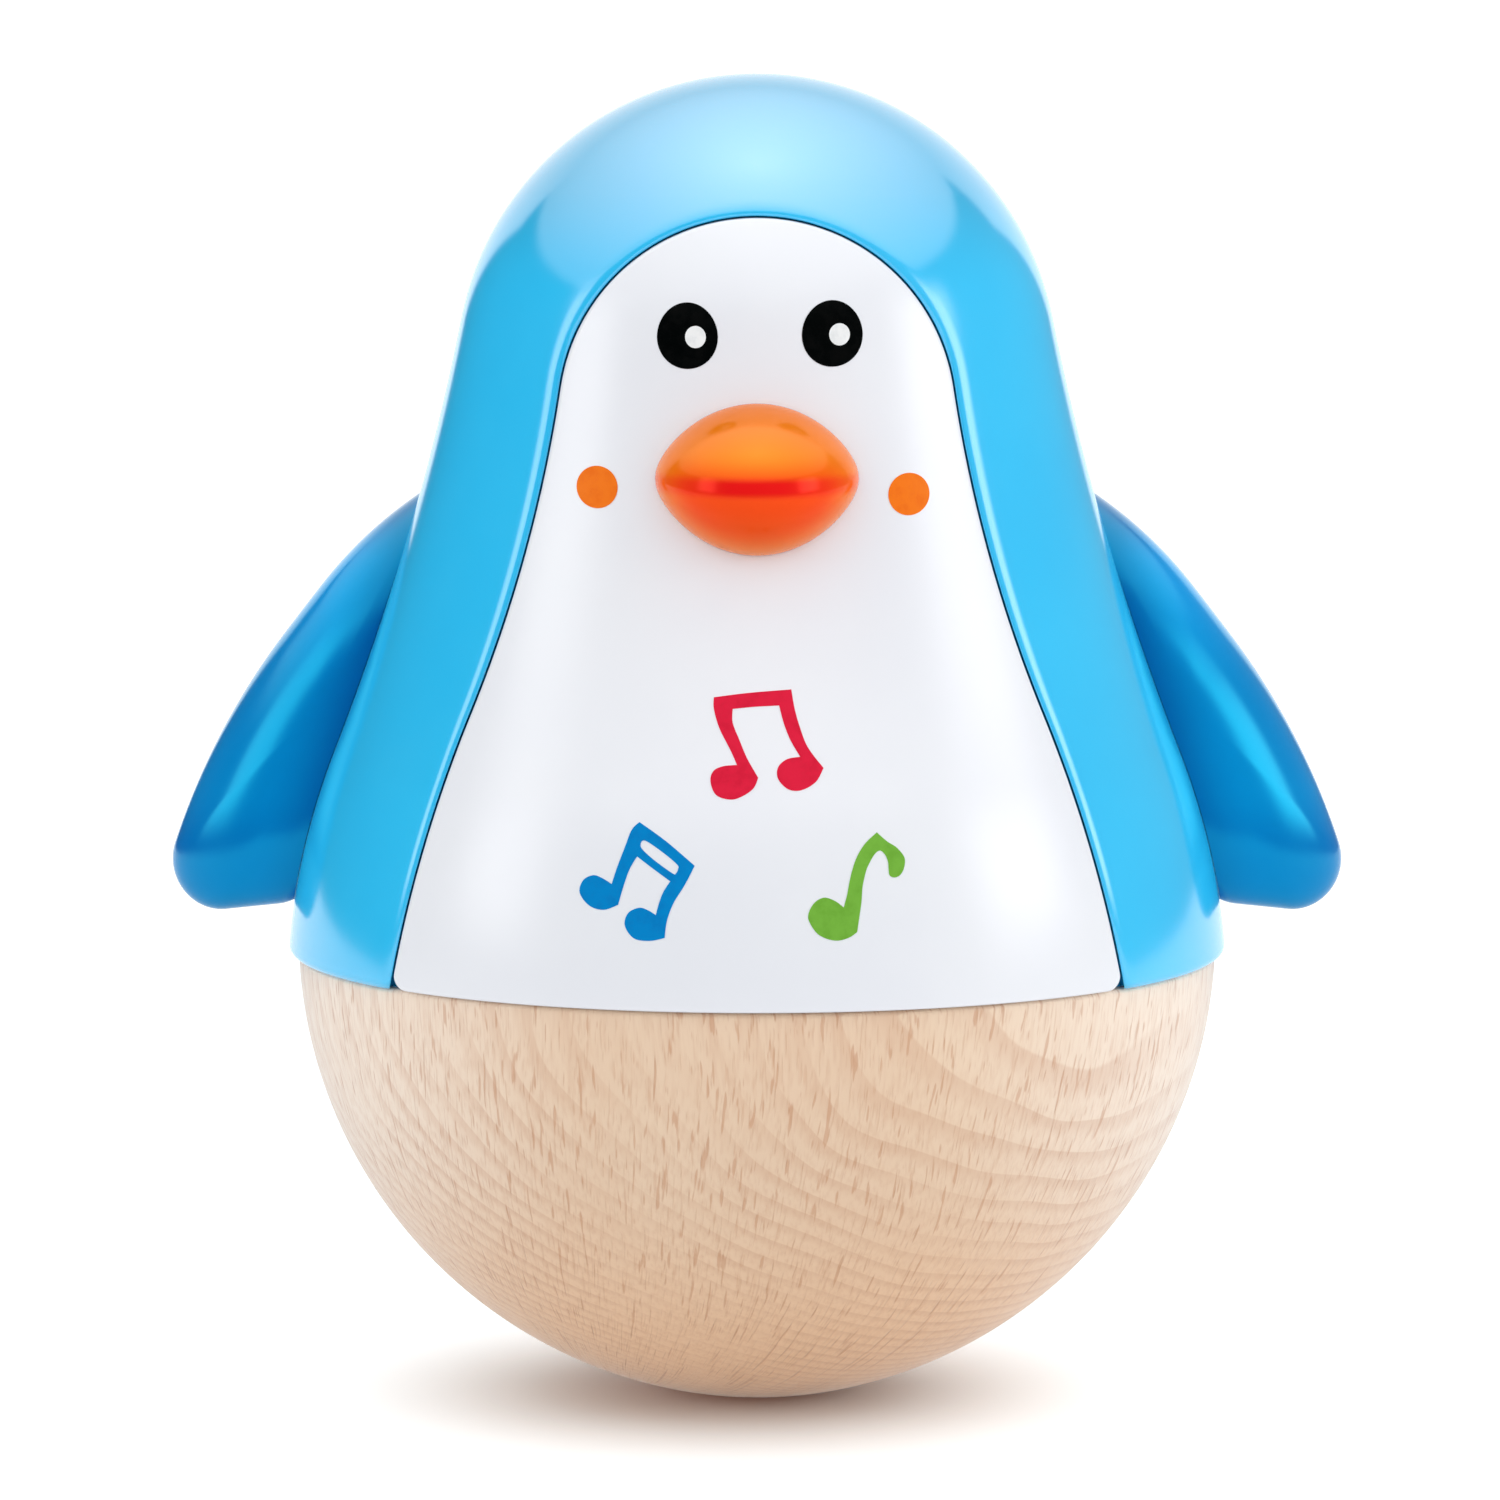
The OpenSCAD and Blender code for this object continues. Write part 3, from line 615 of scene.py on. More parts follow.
def make_bowl():
    """The turned bowl, hollowed in two steps for the deck and the weight."""
    foot, rim = Vector((FOOT_R, 0.0)), Vector((BASE_R, BASE_H))
    centre = arc_centre(foot, rim, BOWL_SIDE_R)
    start = math.atan2(foot.y - centre.y, foot.x - centre.x)
    end = math.asin((BASE_H - BOWL_EDGE_R - centre.y) / BOWL_SIDE_R)
    profile = [(0.0, 0.0), (FOOT_R * 0.5, 0.0)]
    for i in range(BOWL_STEPS + 1):
        a = start + (end - start) * i / BOWL_STEPS
        profile.append((centre.x + BOWL_SIDE_R * math.cos(a), centre.y + BOWL_SIDE_R * math.sin(a)))
    edge_x = profile[-1][0] - BOWL_EDGE_R
    for i in range(1, EDGE_STEPS + 1):
        a = math.pi / 2 * i / EDGE_STEPS
        profile.append((edge_x + BOWL_EDGE_R * math.cos(a), BASE_H - BOWL_EDGE_R * (1 - math.sin(a))))
    profile += [
        (STEP_R, BASE_H), (STEP_R, BASE_H - STEP_H), (POCKET_R, BASE_H - STEP_H),
        (POCKET_R, POCKET_FLOOR), (0.0, POCKET_FLOOR)]
    return place(sharpen(lathe("bowl", profile, BEECH)), "wooden_base")


# The shell

HIP_STEPS = 44
FLANK_STEPS = 36
HEAD_STEPS = 44
ROUND_STEPS = 180
DOME_STEPS = 26


def opening(grow):
    """Points up the right-hand side of the panel's opening, grown all round."""
    return PANEL.points(PANEL.hip_angle(BASE_H, grow), grow, HIP_STEPS, FLANK_STEPS, HEAD_STEPS)


def rim_inset(z, depth):
    """How far the rounded lower edge draws the outer surface in."""
    rise = BASE_H + RIM_ROUND - z
    if rise <= 0 or depth >= WALL:
        return 0.0
    return (RIM_ROUND - math.sqrt(max(RIM_ROUND ** 2 - rise ** 2, 0.0))) * (1 - depth / WALL)


def shell_radius(z, depth):
    """Radius of the shell at height z, a depth inside its outer surface."""
    return body_radius(z, depth) - rim_inset(z, depth)


def opening_turn(p, depth):
    """Angle from the front of a point of the opening."""
    return math.asin(min(p.x / shell_radius(p.y, depth), 1.0))


def shell_point(turn, z, depth):
    """Point of the shell at an angle from the front, a depth inside its outer surface."""
    r = shell_radius(z, depth)
    return Vector((r * math.sin(turn), -r * math.cos(turn), z))


def shell_edge(grow, depth):
    """A run along the opening, up its right side, over the arch and down its left side."""
    right = [shell_point(opening_turn(p, depth), p.y, depth) for p in opening(grow)]
    left = [Vector((-p.x, p.y, p.z)) for p in reversed(right[:-1])]
    return right + left


def shell_sheet(grow, depth):
    """Rows of the body from the rim to the crown, open at the front inside the grown opening."""
    rows = []
    for p in opening(grow):
        first = opening_turn(p, depth)
        turns = [first + (2 * math.pi - 2 * first) * i / ROUND_STEPS for i in range(ROUND_STEPS + 1)]
        rows.append([shell_point(t, p.y, depth) for t in turns])
    top_r = DOME_R - depth
    start = math.asin((opening(grow)[-1].y - DOME_C.y) / top_r)
    for j in range(1, DOME_STEPS + 1):
        a = start + (math.pi / 2 - start) * j / DOME_STEPS
        z = DOME_C.y + top_r * math.sin(a)
        r = top_r * math.cos(a)
        turns = [2 * math.pi * i / ROUND_STEPS for i in range(ROUND_STEPS + 1)]
        rows.append([Vector((r * math.sin(t), -r * math.cos(t), z)) for t in turns])
    return rows


def make_shell():
    """The body, with a rounded lip round the panel's opening and a ledge behind it."""
    lip = [(LIP_W + LIP_BAND, 0.0)]
    lip += [(LIP_W * inset, LIP_DEPTH * depth) for inset, depth in quarter_round(1.0, EDGE_STEPS)]
    lip += [
        (0.0, WALL), (-LEDGE_IN, WALL), (-LEDGE_IN, WALL + LEDGE_T),
        (LEDGE_OUT, WALL + LEDGE_T), (LEDGE_OUT, WALL)]
    outer, inner = shell_sheet(*lip[0]), shell_sheet(*lip[-1])
    edges = [shell_edge(*pair) for pair in lip]
    parts = [strips(rows) for rows in (outer, inner, edges, [outer[0], inner[0]])]
    for end in (0, -1):
        parts.append(([edge[end] for edge in edges], [tuple(range(len(edges)))]))
    points, faces = gathered(parts)
    piece = add_object("shell", points, faces, SHELL_BLUE)
    return place(sharpen(piece), "body_shell")


# The front panel

PANEL_COLUMNS = 96
CORNER_STEPS = 8
PANEL_EDGE_STEPS = 6


def panel_side(inset):
    """Points up the right side of the panel from its lower edge, drawn in by inset."""
    grow = -PANEL_GAP - inset
    lowest = BASE_H + PANEL_GAP
    corner_z = lowest + PANEL_CORNER_R
    reach = PANEL.hip_r - PANEL_GAP - PANEL_CORNER_R
    corner = Vector((PANEL.hip_c.x + math.sqrt(reach ** 2 - (corner_z - PANEL.hip_c.y) ** 2), corner_z))
    hip_start = math.asin((corner_z - PANEL.hip_c.y) / reach)
    found = []
    for i in range(CORNER_STEPS):
        a = -math.pi / 2 + (hip_start + math.pi / 2) * i / CORNER_STEPS
        found.append(corner + (PANEL_CORNER_R - inset) * Vector((math.cos(a), math.sin(a))))
    return found + PANEL.points(hip_start, grow, HIP_STEPS, FLANK_STEPS, HEAD_STEPS)


def panel_rows(inset, depth):
    """Rows across the panel from its lower edge to the top of its arch."""
    rows = []
    for p in panel_side(inset):
        shares = [2 * i / PANEL_COLUMNS - 1 for i in range(PANEL_COLUMNS + 1)]
        rows.append([on_front(p.x * share, p.y, depth) for share in shares])
    return rows


def panel_ring(rows):
    """The run round the rows' edge: along the lower edge, up the right side and down the left."""
    return rows[0] + [row[-1] for row in rows[1:]] + [row[0] for row in reversed(rows[1:-1])]


def make_panel():
    """The front panel, which follows the body's surface and has a small round at its edge."""
    edge = [(PANEL_EDGE_R + PANEL_BAND, 0.0)]
    edge += quarter_round(PANEL_EDGE_R, PANEL_EDGE_STEPS)
    edge.append((0.0, WALL - SEAT_GAP))
    front, back = panel_rows(*edge[0]), panel_rows(*edge[-1])
    rings = [panel_ring(panel_rows(*pair)) for pair in edge]
    points, faces = gathered([strips(front), strips(back), strips(rings, closed=True)])
    return place(sharpen(add_object("panel", points, faces, PANEL_WHITE)), "belly_panel")


# The beak

BEAK_COLUMNS = 120
BEAK_LEVELS = 80
BEAK_TIP = 1e-6


def make_beak():
    """A form whose outline is a blunted lens and whose section is a soft ridge, set on the panel."""
    half_w, half_h = BEAK_W / 2 - BEAK_BLUNT, BEAK_H / 2 - BEAK_BLUNT
    power = 2 * BEAK_SWELL
    rows = []
    for i in range(BEAK_COLUMNS + 1):
        a = math.pi * min(max(i / BEAK_COLUMNS, BEAK_TIP), 1 - BEAK_TIP)
        along, up = half_w * math.sin(a), power * half_h * math.sin(a) ** (power - 1) * math.cos(a)
        blunt = BEAK_BLUNT / math.hypot(along, up)
        x = -half_w * math.cos(a) - blunt * up
        half = half_h * math.sin(a) ** power + blunt * along
        reach = BEAK_REACH * math.sqrt(max(1 - (2 * x / BEAK_W) ** 2, 0.0))
        row = []
        for j in range(BEAK_LEVELS + 1):
            share = -math.cos(math.pi * j / BEAK_LEVELS)
            level = (math.hypot(share, BEAK_RIDGE) - BEAK_RIDGE) / (math.hypot(1, BEAK_RIDGE) - BEAK_RIDGE)
            out = max(1 - level ** BEAK_SECTION, 0.0) ** (1 / BEAK_SECTION)
            row.append(on_front(x, BEAK_Z + half * share) - Vector((0, reach * out, 0)))
        back = [on_front(p.x, p.z, -SEAT_GAP) for p in reversed(row[1:-1])]
        rows.append(row + back)
    points, faces = strips(rows, closed=True)
    return place(add_object("beak_form", points, faces, BEAK_ORANGE), "beak")


# The wings

WING_STEPS = 72
WING_CENTRE_STEP = 26
OUTLINE_STEPS = 480
OUTLINE_WAYS = 720
PILLOW_STEPS = 28
CORE_STEPS = 60
LEAST_FACING = 1e-4


def wing_discs():
    """Discs that a wing's outline spans, as centres and radii: its edge, its root and its middle."""
    heel = Vector((RIM_R + WING_REACH - WING_HEEL_R, WING_HEEL_Z + WING_HEEL_R))
    point_z = WING_TOP - WING_POINT_R
    point = Vector((body_radius(point_z, WALL), point_z))
    edge_r = WING_EDGE_R - WING_HEEL_R
    centre = arc_centre(heel, point, edge_r)
    first = math.atan2(heel.y - centre.y, heel.x - centre.x)
    last = math.atan2(point.y - centre.y, point.x - centre.x)
    edges, roots, middles = [], [], []
    for i in range(WING_STEPS + 1):
        t = i / WING_STEPS
        a = first + t * (last - first)
        edge = centre + edge_r * Vector((math.cos(a), math.sin(a)))
        r = WING_HEEL_R + t * (WING_POINT_R - WING_HEEL_R)
        full = WING_T / 2 * math.sin(math.radians(WING_FULL_A[0] + t * (WING_FULL_A[1] - WING_FULL_A[0])))
        root = Vector((body_radius(edge.y, WALL), edge.y + (1 - t) * (full - r + WING_HEEL_LIFT)))
        edges.append((edge, r))
        roots.append((root, WING_ROOT_SHARE * full))
        middles.append(((edge + root) / 2, full))
    return edges, roots, middles


def wing_outline():
    """A wing's centre, and points of its outline all round it."""
    edges, roots, middles = wing_discs()
    turns = [math.radians(360 / OUTLINE_WAYS * i) for i in range(OUTLINE_WAYS)]
    ways = [Vector((math.cos(a), math.sin(a))) for a in turns]
    limits = [max(c.dot(way) + r for c, r in edges + roots + middles) for way in ways]
    centre = middles[WING_CENTRE_STEP][0]
    rooms = [limit - centre.dot(way) for way, limit in zip(ways, limits)]
    outline = []
    for i in range(OUTLINE_STEPS):
        a = 2 * math.pi * i / OUTLINE_STEPS
        heading = Vector((math.cos(a), math.sin(a)))
        facing = [(room, heading.dot(way)) for room, way in zip(rooms, ways)]
        reach = min(room / share for room, share in facing if share > LEAST_FACING)
        outline.append(centre + heading * reach)
    return centre, outline


def modify(piece, kind, **settings):
    """Adds a modifier and applies it."""
    modifier = piece.modifiers.new(kind.lower(), kind)
    for key, value in settings.items():
        setattr(modifier, key, value)
    with bpy.context.temp_override(object=piece, active_object=piece, selected_objects=[piece]):
        bpy.ops.object.modifier_apply(modifier=modifier.name)


def make_body_core():
    """The body's outer form, slightly full, to cut the wings' roots with."""
    start = BODY.hip_angle(BASE_H, SEAT_GAP)
    side = BODY.points(start, SEAT_GAP, CORE_STEPS, CORE_STEPS, CORE_STEPS)
    profile = [(0.0, BASE_H)] + [(p.x, p.y) for p in side]
    return lathe("body_core", profile, SHELL_BLUE)


def make_wing(name, side, centre, outline, core, node):
    """A pillow over the wing's outline, set back toward its edge and top, and cut to sit on the body."""
    rows = []
    for j in range(-PILLOW_STEPS, PILLOW_STEPS + 1):
        a = math.pi / 2 * j / PILLOW_STEPS
        spread = math.cos(a) ** (2 / WING_SECTION)
        rise = math.copysign(abs(math.sin(a)) ** (2 / WING_SECTION), a)
        row = []
        for outer in outline:
            off = (outer - centre) * spread
            y = WING_BACK + WING_SWEEP * off.x + WING_LEAN * off.y + WING_T / 2 * rise
            row.append(Vector((side * (centre.x + off.x), y, centre.y + off.y)))
        rows.append(row)
    points, faces = strips(rows, closed=True)
    piece = add_object(name, points, faces, WING_BLUE)
    modify(piece, "BOOLEAN", operation="DIFFERENCE", object=core, solver="EXACT")
    shade_smooth(piece)
    return place(sharpen(piece, degrees=35), node)


# Round prints on the panel

PRINT_RINGS = 8
PRINT_AROUND = 64


def print_disc(name, x, z, half_w, half_h, material, layer=0, egg=0.0):
    """A round print, closed, that follows the panel. egg widens its lower half."""
    sheets = []
    for high in (layer + 1, layer):
        rows = []
        for k in range(PRINT_RINGS + 1):
            row = []
            for i in range(PRINT_AROUND):
                a = 2 * math.pi * i / PRINT_AROUND
                px = half_w * k / PRINT_RINGS * math.cos(a) * (1 - egg * math.sin(a))
                pz = half_h * k / PRINT_RINGS * math.sin(a)
                row.append(on_front(x + px, z + pz, -high * PRINT_T))
            rows.append(row)
        sheets.append(rows)
    points, faces = strips(sheets[0] + sheets[1][::-1], closed=True)
    piece = add_object(name, points, faces, material)
    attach(piece, "root")
    return sharpen(piece)


# Places of the face's prints, as x and z, and their half widths and half heights
EYES = {"left": (6.87, 102.96), "right": (-6.35, 102.76)}
GLINTS = {"left": (7.53, 102.87), "right": (-5.61, 102.65)}
CHEEKS = {"left": (13.87, 88.37), "right": (-14.61, 88.97)}
EYE_HALF = (2.78, 3.0)
EYE_EGG = 0.04
GLINT_HALF = (0.95, 1.0)
CHEEK_HALF = (1.9, 1.9)


def make_face():
    """Prints the eyes, with their glints on top, and the cheeks."""
    for side in ("left", "right"):
        print_disc("eye_" + side, *EYES[side], *EYE_HALF, INK_BLACK, egg=EYE_EGG)
        print_disc("glint_" + side, *GLINTS[side], *GLINT_HALF, INK_WHITE, layer=1)
        print_disc("cheek_" + side, *CHEEKS[side], *CHEEK_HALF, INK_ORANGE)


# The music notes, cut on a grid so that they can follow the panel's curve

NOTE_GRID = 0.5
NOTE_STEPS = 6


def smooth_outline(marks):
    """A closed outline through marks of x and z. A third value makes a mark a corner."""
    count = len(marks)
    spots = [Vector(mark[:2]) for mark in marks]
    outline = []
    for i in range(count):
        p, q = spots[i], spots[(i + 1) % count]
        before = p if len(marks[i]) > 2 else spots[i - 1]
        after = q if len(marks[(i + 1) % count]) > 2 else spots[(i + 2) % count]
        for k in range(NOTE_STEPS):
            t = k / NOTE_STEPS
            outline.append(
                p + 0.5 * t * (q - before)
                + t * t * (before - 2.5 * p + 2 * q - 0.5 * after)
                + t ** 3 * (1.5 * p - 0.5 * before - 1.5 * q + 0.5 * after))
    return outline


def slab(outline):
    """A flat solid of an outline, with its back at y = 0."""
    points = [Vector((p.x, y, p.y)) for y in (0.0, -SLAB_T) for p in outline]
    n = len(outline)
    faces = [tuple(range(n)), tuple(range(2 * n - 1, n - 1, -1))]
    faces += [(i, (i + 1) % n, n + (i + 1) % n, n + i) for i in range(n)]
    return add_object("slab", points, faces, INK_BLACK)


def press_on(piece):
    """Bends a slab onto the panel, and brings it to the thickness of a print."""
    for v in piece.data.vertices:
        depth = 0.0 if v.co.y > -SLAB_T / 2 * MM else -PRINT_T
        v.co = on_front(v.co.x / MM, v.co.z / MM, depth) * MM


def make_note(name, marks, material, hole=None):
    """A printed note, less its hole, bent onto the panel."""
    piece = slab(smooth_outline(marks))
    if hole:
        tool = slab(smooth_outline(hole))
        for v in tool.data.vertices:
            v.co.y = 2 * v.co.y + SLAB_T / 2 * MM
        modify(piece, "BOOLEAN", operation="DIFFERENCE", object=tool, solver="EXACT")
        bpy.data.objects.remove(tool)
    bm = bmesh.new()
    bm.from_mesh(piece.data)
    bmesh.ops.triangulate(bm, faces=bm.faces)
    for axis in (0, 2):
        cut = min(v.co[axis] for v in bm.verts) + NOTE_GRID * MM
        high = max(v.co[axis] for v in bm.verts)
        while cut < high:
            at, normal = Vector(), Vector()
            at[axis], normal[axis] = cut, 1.0
            every = bm.verts[:] + bm.edges[:] + bm.faces[:]
            bmesh.ops.bisect_plane(bm, geom=every, dist=WELD / 10, plane_co=at, plane_no=normal)
            cut += NOTE_GRID * MM
    bm.to_mesh(piece.data)
    bm.free()
    press_on(piece)
    piece.name = piece.data.name = name
    piece.data.materials.clear()
    piece.data.materials.append(material)
    shade_smooth(piece)
    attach(piece, "root")
    return sharpen(piece)


def make_notes():
    """Prints the three notes."""
    make_note("note_red", [
        (-3.9, 70.6, 1), (-0.8, 71.0), (3.1, 71.3, 1), (3.4, 69.6), (3.9, 67.9), (4.6, 66.2), (6.0, 64.4, 1),
        (5.3, 63.2), (4.0, 62.5), (2.8, 62.6), (1.9, 63.5), (1.9, 64.5), (2.7, 65.2), (3.9, 65.4, 1),
        (3.0, 66.9), (2.4, 68.4), (2.0, 69.9, 1), (-0.1, 69.8), (-2.2, 69.6, 1), (-2.2, 68.4), (-1.6, 66.9),
        (-0.9, 65.3), (0.1, 63.6, 1), (-0.3, 62.7), (-1.3, 62.0), (-2.4, 61.7), (-3.7, 62.1), (-4.2, 63.3),
        (-3.9, 64.2), (-3.0, 64.6), (-1.8, 64.7, 1), (-2.4, 66.0), (-3.4, 67.9), (-3.9, 69.6),
    ], INK_RED)
    make_note("note_blue", [
        (-10.6, 59.6, 1), (-8.2, 58.0), (-5.6, 55.9, 1), (-6.5, 54.2), (-7.5, 52.6), (-8.1, 51.0),
        (-8.3, 49.5, 1), (-9.7, 49.2), (-11.1, 49.4), (-11.9, 50.5), (-11.6, 51.6), (-10.6, 52.1),
        (-9.8, 51.9), (-9.1, 51.5, 1), (-8.8, 52.6), (-8.4, 53.6), (-7.8, 54.5, 1), (-9.4, 55.6),
        (-10.8, 56.6, 1), (-11.5, 55.4), (-12.1, 53.7), (-12.5, 52.3, 1), (-13.8, 51.8), (-15.1, 52.1),
        (-16.0, 53.2), (-15.7, 54.3), (-14.8, 54.8), (-14.0, 54.6), (-13.1, 54.1, 1), (-12.6, 55.6),
        (-11.9, 57.4), (-11.3, 58.9),
    ], INK_BLUE, hole=[
        (-10.1, 58.0), (-8.6, 57.1), (-7.2, 56.0), (-7.1, 55.6), (-7.3, 55.2), (-7.6, 55.2), (-9.1, 56.2),
        (-10.2, 57.1), (-10.5, 57.6),
    ])
    make_note("note_green", [
        (10.8, 58.7, 1), (11.7, 57.9), (12.6, 57.3), (13.3, 56.4), (13.25, 55.5), (12.9, 54.9), (12.4, 54.7),
        (11.95, 54.9), (11.85, 55.5), (11.8, 56.1), (11.55, 56.7), (11.1, 57.1), (10.6, 56.8), (10.1, 56.0),
        (9.8, 55.3), (9.5, 54.0), (9.4, 52.7), (9.2, 51.3), (9.0, 50.0, 1), (8.2, 49.5), (7.0, 49.3),
        (5.6, 49.8), (4.8, 50.8), (4.6, 51.6), (5.1, 52.6), (6.0, 53.1), (7.0, 52.8), (7.8, 52.2, 1),
        (8.1, 53.3), (8.4, 54.8), (8.9, 56.4), (9.7, 57.7),
    ], INK_GREEN)


make_bowl()
make_shell()
make_panel()
make_beak()
body_core = make_body_core()
wing_form = wing_outline()
make_wing("wing_left", 1, *wing_form, body_core, "left_wing")
make_wing("wing_right", -1, *wing_form, body_core, "right_wing")
bpy.data.objects.remove(body_core)
make_face()
make_notes()


# Inner pieces keep their solids and get their own finish

INNER = {
    CAST_WEIGHT: ["ballast_weight"],
    SCREW_STEEL: [
        "ballast_screw", "deck_screws", "beak_screw", "wing_screws", "chime_screws", "bridge_screws"],
    ROD_STEEL: ["tone_rod_1", "tone_rod_2", "tone_rod_3", "tone_rod_4", "hanger_pin", "clapper_pin"],
    INNER_PLASTIC: ["deck_plate", "chime_plate", "chime_bridge", "swivel_link", "clapper_stem"],
    BEAD_WOOD: ["clapper_ball"],
}
for material, names in INNER.items():
    for node_name in names:
        nodes[node_name].data.materials.clear()
        nodes[node_name].data.materials.append(material)


# Stage and light, with their lengths in metres

scene = bpy.context.scene
scene.view_settings.view_transform = "Standard"

# Levels of the white tent, as gloss shows it, and the plain light that it throws
CEILING_LOW = 1.1
CEILING_HIGH = 5.3
CEILING_EDGE = math.radians(30)
CEILING_TILT = math.radians(3.5)
BACKDROP = 1.3
BACKDROP_HALF = (math.radians(20), math.radians(41))
BACKDROP_FULL_AT = math.radians(20)
EDGE_BLUR = math.radians(1.5)
SIDE_LEFT = 0.04
SIDE_RIGHT = 0.25
SIDE_SPAN = (-0.3, 0.6)
PLAIN_LOW = 1.48
PLAIN_HIGH = 0.25
PLAIN_TILT = 0.09

# The point that the lamps and the camera look at
AIM = Vector((0, 0, 0.06))

# Lamps: how far off they are, and the shares of a strip's width and height that are at full strength
LAMP_DISTANCE = 0.9
STRIP_CORE = (0.44, 0.32)

# The floor, a hair below the foot: its tones, the middle of the contact shadow and the glow in and round it
FLOOR_R = 6.0
FLOOR_DROP = 0.00002
FLOOR_TONES = ((0.77, 0.79, 0.81, 1.0), (0.78, 0.8, 0.82, 1.0))
SHADOW_AT = (-0.003, 0.0, 0.0)
SHADOW_WARM = (1.0, 0.36, 0.22, 1.0)
FLOOR_COOL = (0.93, 0.98, 1.0, 1.0)
WARM_GLOW = 0.08
FLOOR_GLOW = 0.5

# Distances from the shadow's middle, in millimetres, over which the glows and their colour turn
WARM_SPAN = (4.0, 19.0)
GLOW_SPAN = (10.0, 42.0)
TONE_SPAN = (10.0, 20.0)

# The photograph's view, with the lens in millimetres
CAMERA_DISTANCE = 0.7
CAMERA_ELEVATION = math.radians(6.45)
CAMERA_LENS = 175.85
CAMERA_SHIFT = (-0.00467, 0.012)


def make_floor():
    """A white floor that keeps the toy's shadow and is bright away from it for rays that see it."""
    spot = (0, 0, -FLOOR_DROP)
    bpy.ops.mesh.primitive_circle_add(vertices=96, radius=FLOOR_R, fill_type="NGON", location=spot)
    floor = bpy.context.object
    floor.name = "floor"
    s = Shader("floor_white")
    path = s.node("LightPath", {}).outputs
    mirrored = s.math("MAXIMUM", path["Is Glossy Ray"], path["Is Transmission Ray"])
    seen = s.math("MAXIMUM", path["Is Camera Ray"], mirrored)
    off = s.vector("SUBTRACT", s.coords, SHADOW_AT)
    away = s.node("VectorMath", {0: off}, operation="LENGTH").outputs["Value"]
    # Painted light: the floor's glow grows away from the toy and so draws the contact shadow's size, and a
    # warm glow in the shadow's middle is painted bounce light
    bright = s.ramp_mm(away, *GLOW_SPAN, 0.0, FLOOR_GLOW)
    warm = s.ramp_mm(away, *WARM_SPAN, WARM_GLOW, 0.0)
    s.set(
        Base_Color=s.mix(s.noise(s.coords, scale=3.0), *FLOOR_TONES),
        Roughness=0.9,
        Specular_IOR_Level=0.1,
        Emission_Color=s.mix(s.ramp_mm(away, *TONE_SPAN), SHADOW_WARM, FLOOR_COOL),
        Emission_Strength=s.math("MULTIPLY", seen, s.math("ADD", bright, warm)))
    floor.data.materials.append(s.material)


def make_world():
    """A white tent: brightest overhead, a white backdrop behind, and open and dark at the sides."""
    world = bpy.data.worlds.new("studio")
    scene.world = world
    world.use_nodes = True
    n = Nodes(world.node_tree)
    x, y, z = n.axes(n.node("TexCoord", {}).outputs["Generated"])
    height = n.math("ARCSINE", z)
    off_back = n.math("ABSOLUTE", n.math("ARCTAN2", x, y))
    edge = n.ramp(x, -1.0, 1.0, CEILING_EDGE - CEILING_TILT, CEILING_EDGE + CEILING_TILT)
    above = n.math("SUBTRACT", height, edge)
    ceiling = n.math(
        "MULTIPLY",
        n.ramp(above, -EDGE_BLUR, EDGE_BLUR),
        n.ramp(height, CEILING_EDGE, math.pi / 2, CEILING_LOW, CEILING_HIGH, "LINEAR"))
    half = n.ramp(height, 0.0, BACKDROP_FULL_AT, *BACKDROP_HALF, "LINEAR")
    beside = n.math("SUBTRACT", off_back, half)
    backdrop = n.ramp(beside, EDGE_BLUR, -EDGE_BLUR, 0.0, BACKDROP)
    sides = n.ramp(x, *SIDE_SPAN, SIDE_LEFT, SIDE_RIGHT)
    tent = n.math("MAXIMUM", n.math("MAXIMUM", ceiling, backdrop), sides)
    plain = n.math(
        "MULTIPLY",
        n.ramp(height, 0.0, math.pi / 2, PLAIN_LOW, PLAIN_HIGH, "LINEAR"),
        n.ramp(x, -1.0, 1.0, 1 - PLAIN_TILT, 1 + PLAIN_TILT, "LINEAR"))
    path = n.node("LightPath", {}).outputs
    level = n.node("Mix", {0: path["Is Glossy Ray"], 2: plain, 3: tent}).outputs[0]
    background = world.node_tree.nodes["Background"]
    n.link(n.math("MAXIMUM", level, path["Is Camera Ray"]), background.inputs["Strength"])
    n.link(WHITE, background.inputs["Color"])


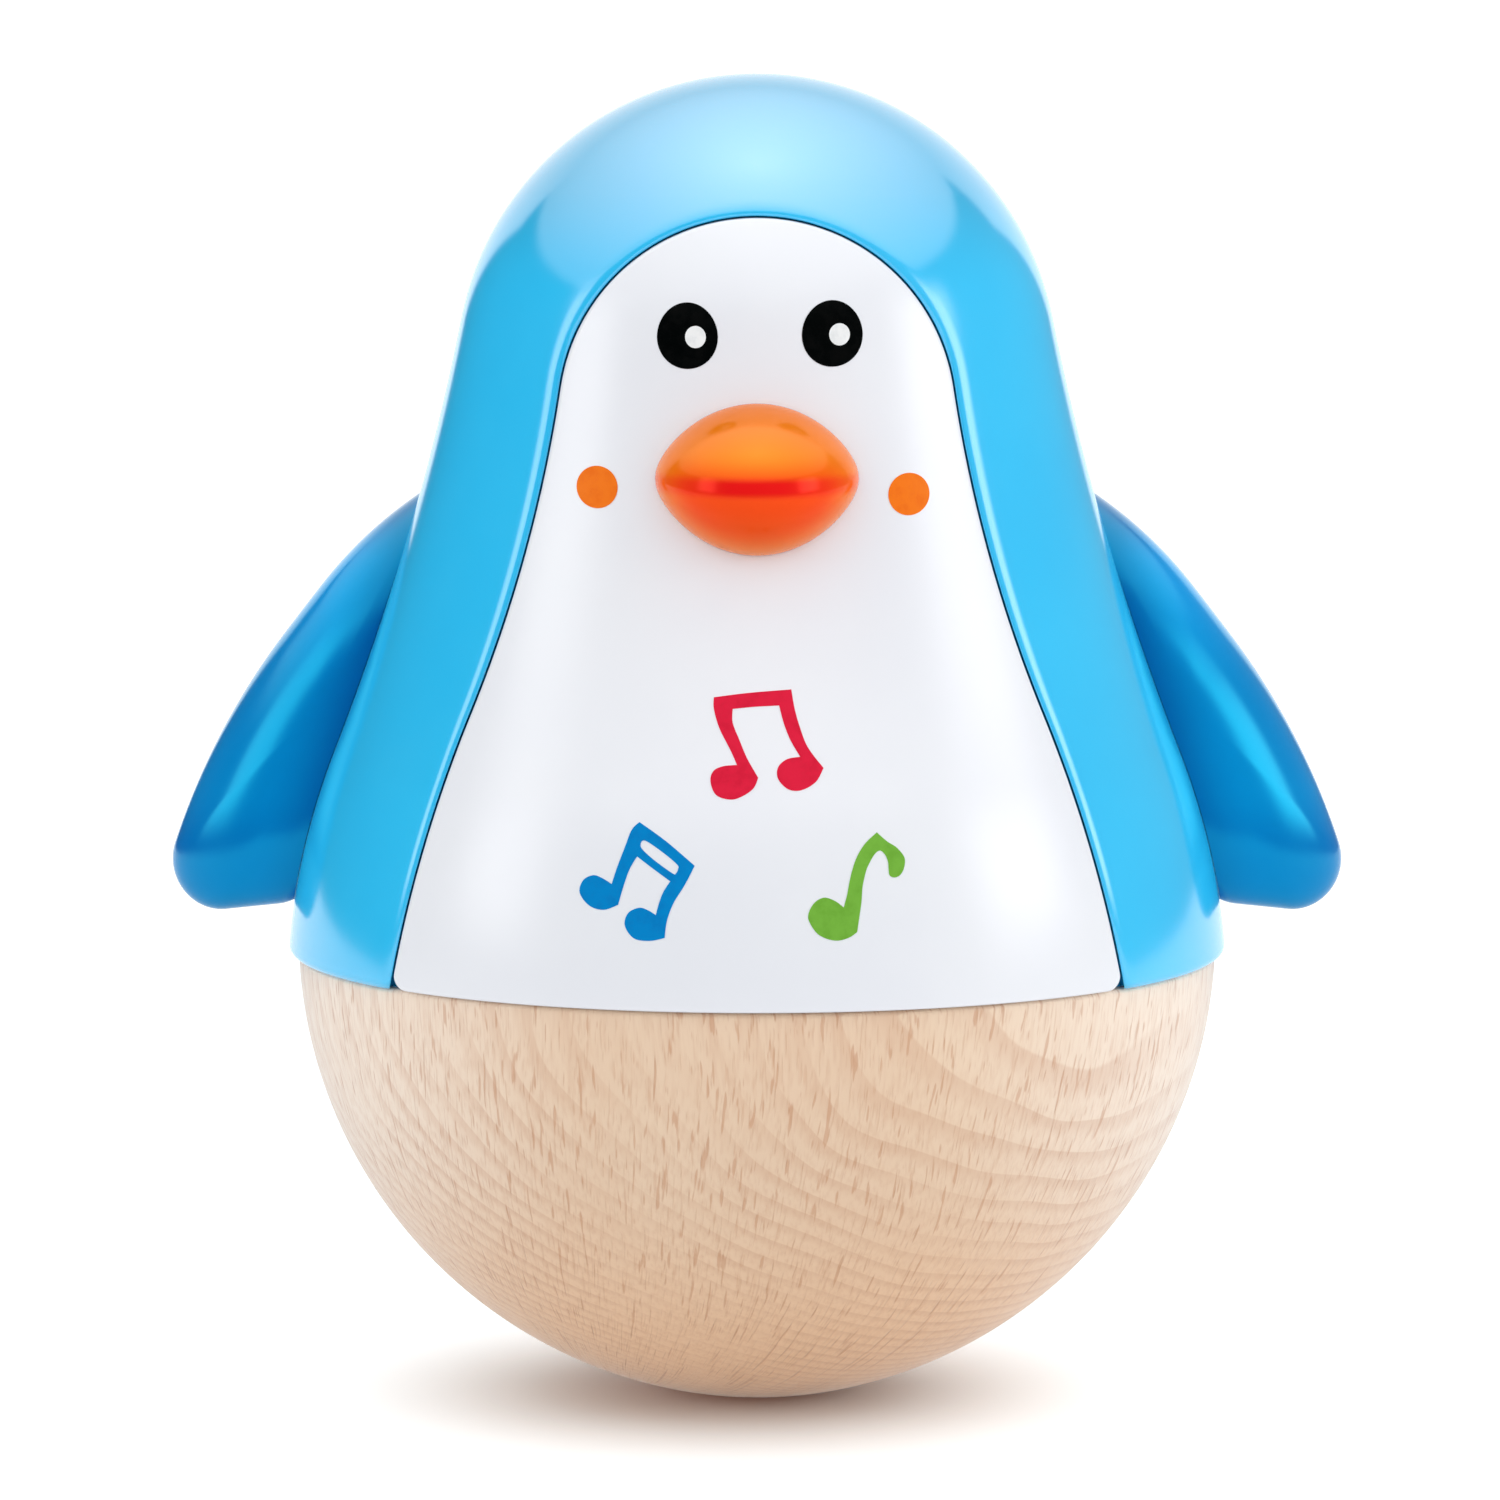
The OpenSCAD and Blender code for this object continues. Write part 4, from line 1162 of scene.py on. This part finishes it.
def fade_edges(lamp):
    """Lets an area lamp fade out toward its edges, so that its mirror image is soft."""
    lamp.use_nodes = True
    n = Nodes(lamp.node_tree)
    u, v, _ = n.axes(n.node("NewGeometry", {}).outputs["Parametric"])
    across = n.ramp(n.math("ABSOLUTE", n.math("SUBTRACT", u, 0.5)), 0.5, STRIP_CORE[0] / 2)
    along = n.ramp(n.math("ABSOLUTE", n.math("SUBTRACT", v, 0.5)), 0.5, STRIP_CORE[1] / 2)
    n.link(n.math("MULTIPLY", across, along), lamp.node_tree.nodes["Emission"].inputs["Strength"])


def make_softbox(name, azimuth, elevation, width, height, power, gloss):
    """An area lamp for gloss, or for all else. Azimuth 0 is in front of the toy, and 90 at its left hand."""
    a, e = math.radians(azimuth), math.radians(elevation)
    lamp = bpy.data.lights.new(name, "AREA")
    lamp.shape = "RECTANGLE"
    lamp.size, lamp.size_y = width, height
    lamp.energy = power
    box = bpy.data.objects.new(name, lamp)
    scene.collection.objects.link(box)
    box.visible_glossy = gloss
    box.visible_diffuse = not gloss
    if gloss:
        fade_edges(lamp)
    way = Vector((math.sin(a) * math.cos(e), -math.cos(a) * math.cos(e), math.sin(e)))
    box.location = AIM + LAMP_DISTANCE * way
    box.rotation_euler = (AIM - box.location).to_track_quat("-Z", "Y").to_euler()


def make_camera():
    """The photograph's view: the aim point lies off the middle of the frame by a small shift."""
    camera = bpy.data.cameras.new("camera")
    camera.sensor_width = 36.0
    camera.lens = CAMERA_LENS
    camera.shift_x, camera.shift_y = CAMERA_SHIFT
    camera.clip_end = 50.0
    eye = bpy.data.objects.new("camera", camera)
    way = Vector((0, -math.cos(CAMERA_ELEVATION), math.sin(CAMERA_ELEVATION)))
    eye.location = AIM + CAMERA_DISTANCE * way
    eye.rotation_euler = (math.pi / 2 - CAMERA_ELEVATION, 0, 0)
    scene.collection.objects.link(eye)
    scene.camera = eye


make_floor()
make_world()
make_softbox("left_fill", azimuth=-68, elevation=14, width=0.26, height=0.22, power=0.6, gloss=False)
make_softbox("right_fill", azimuth=70, elevation=14, width=0.3, height=0.26, power=1.0, gloss=False)
make_softbox("left_strip", azimuth=-68, elevation=18, width=0.46, height=0.5, power=1.8, gloss=True)
make_softbox("right_strip", azimuth=70, elevation=18, width=0.52, height=0.5, power=2.7, gloss=True)
make_camera()
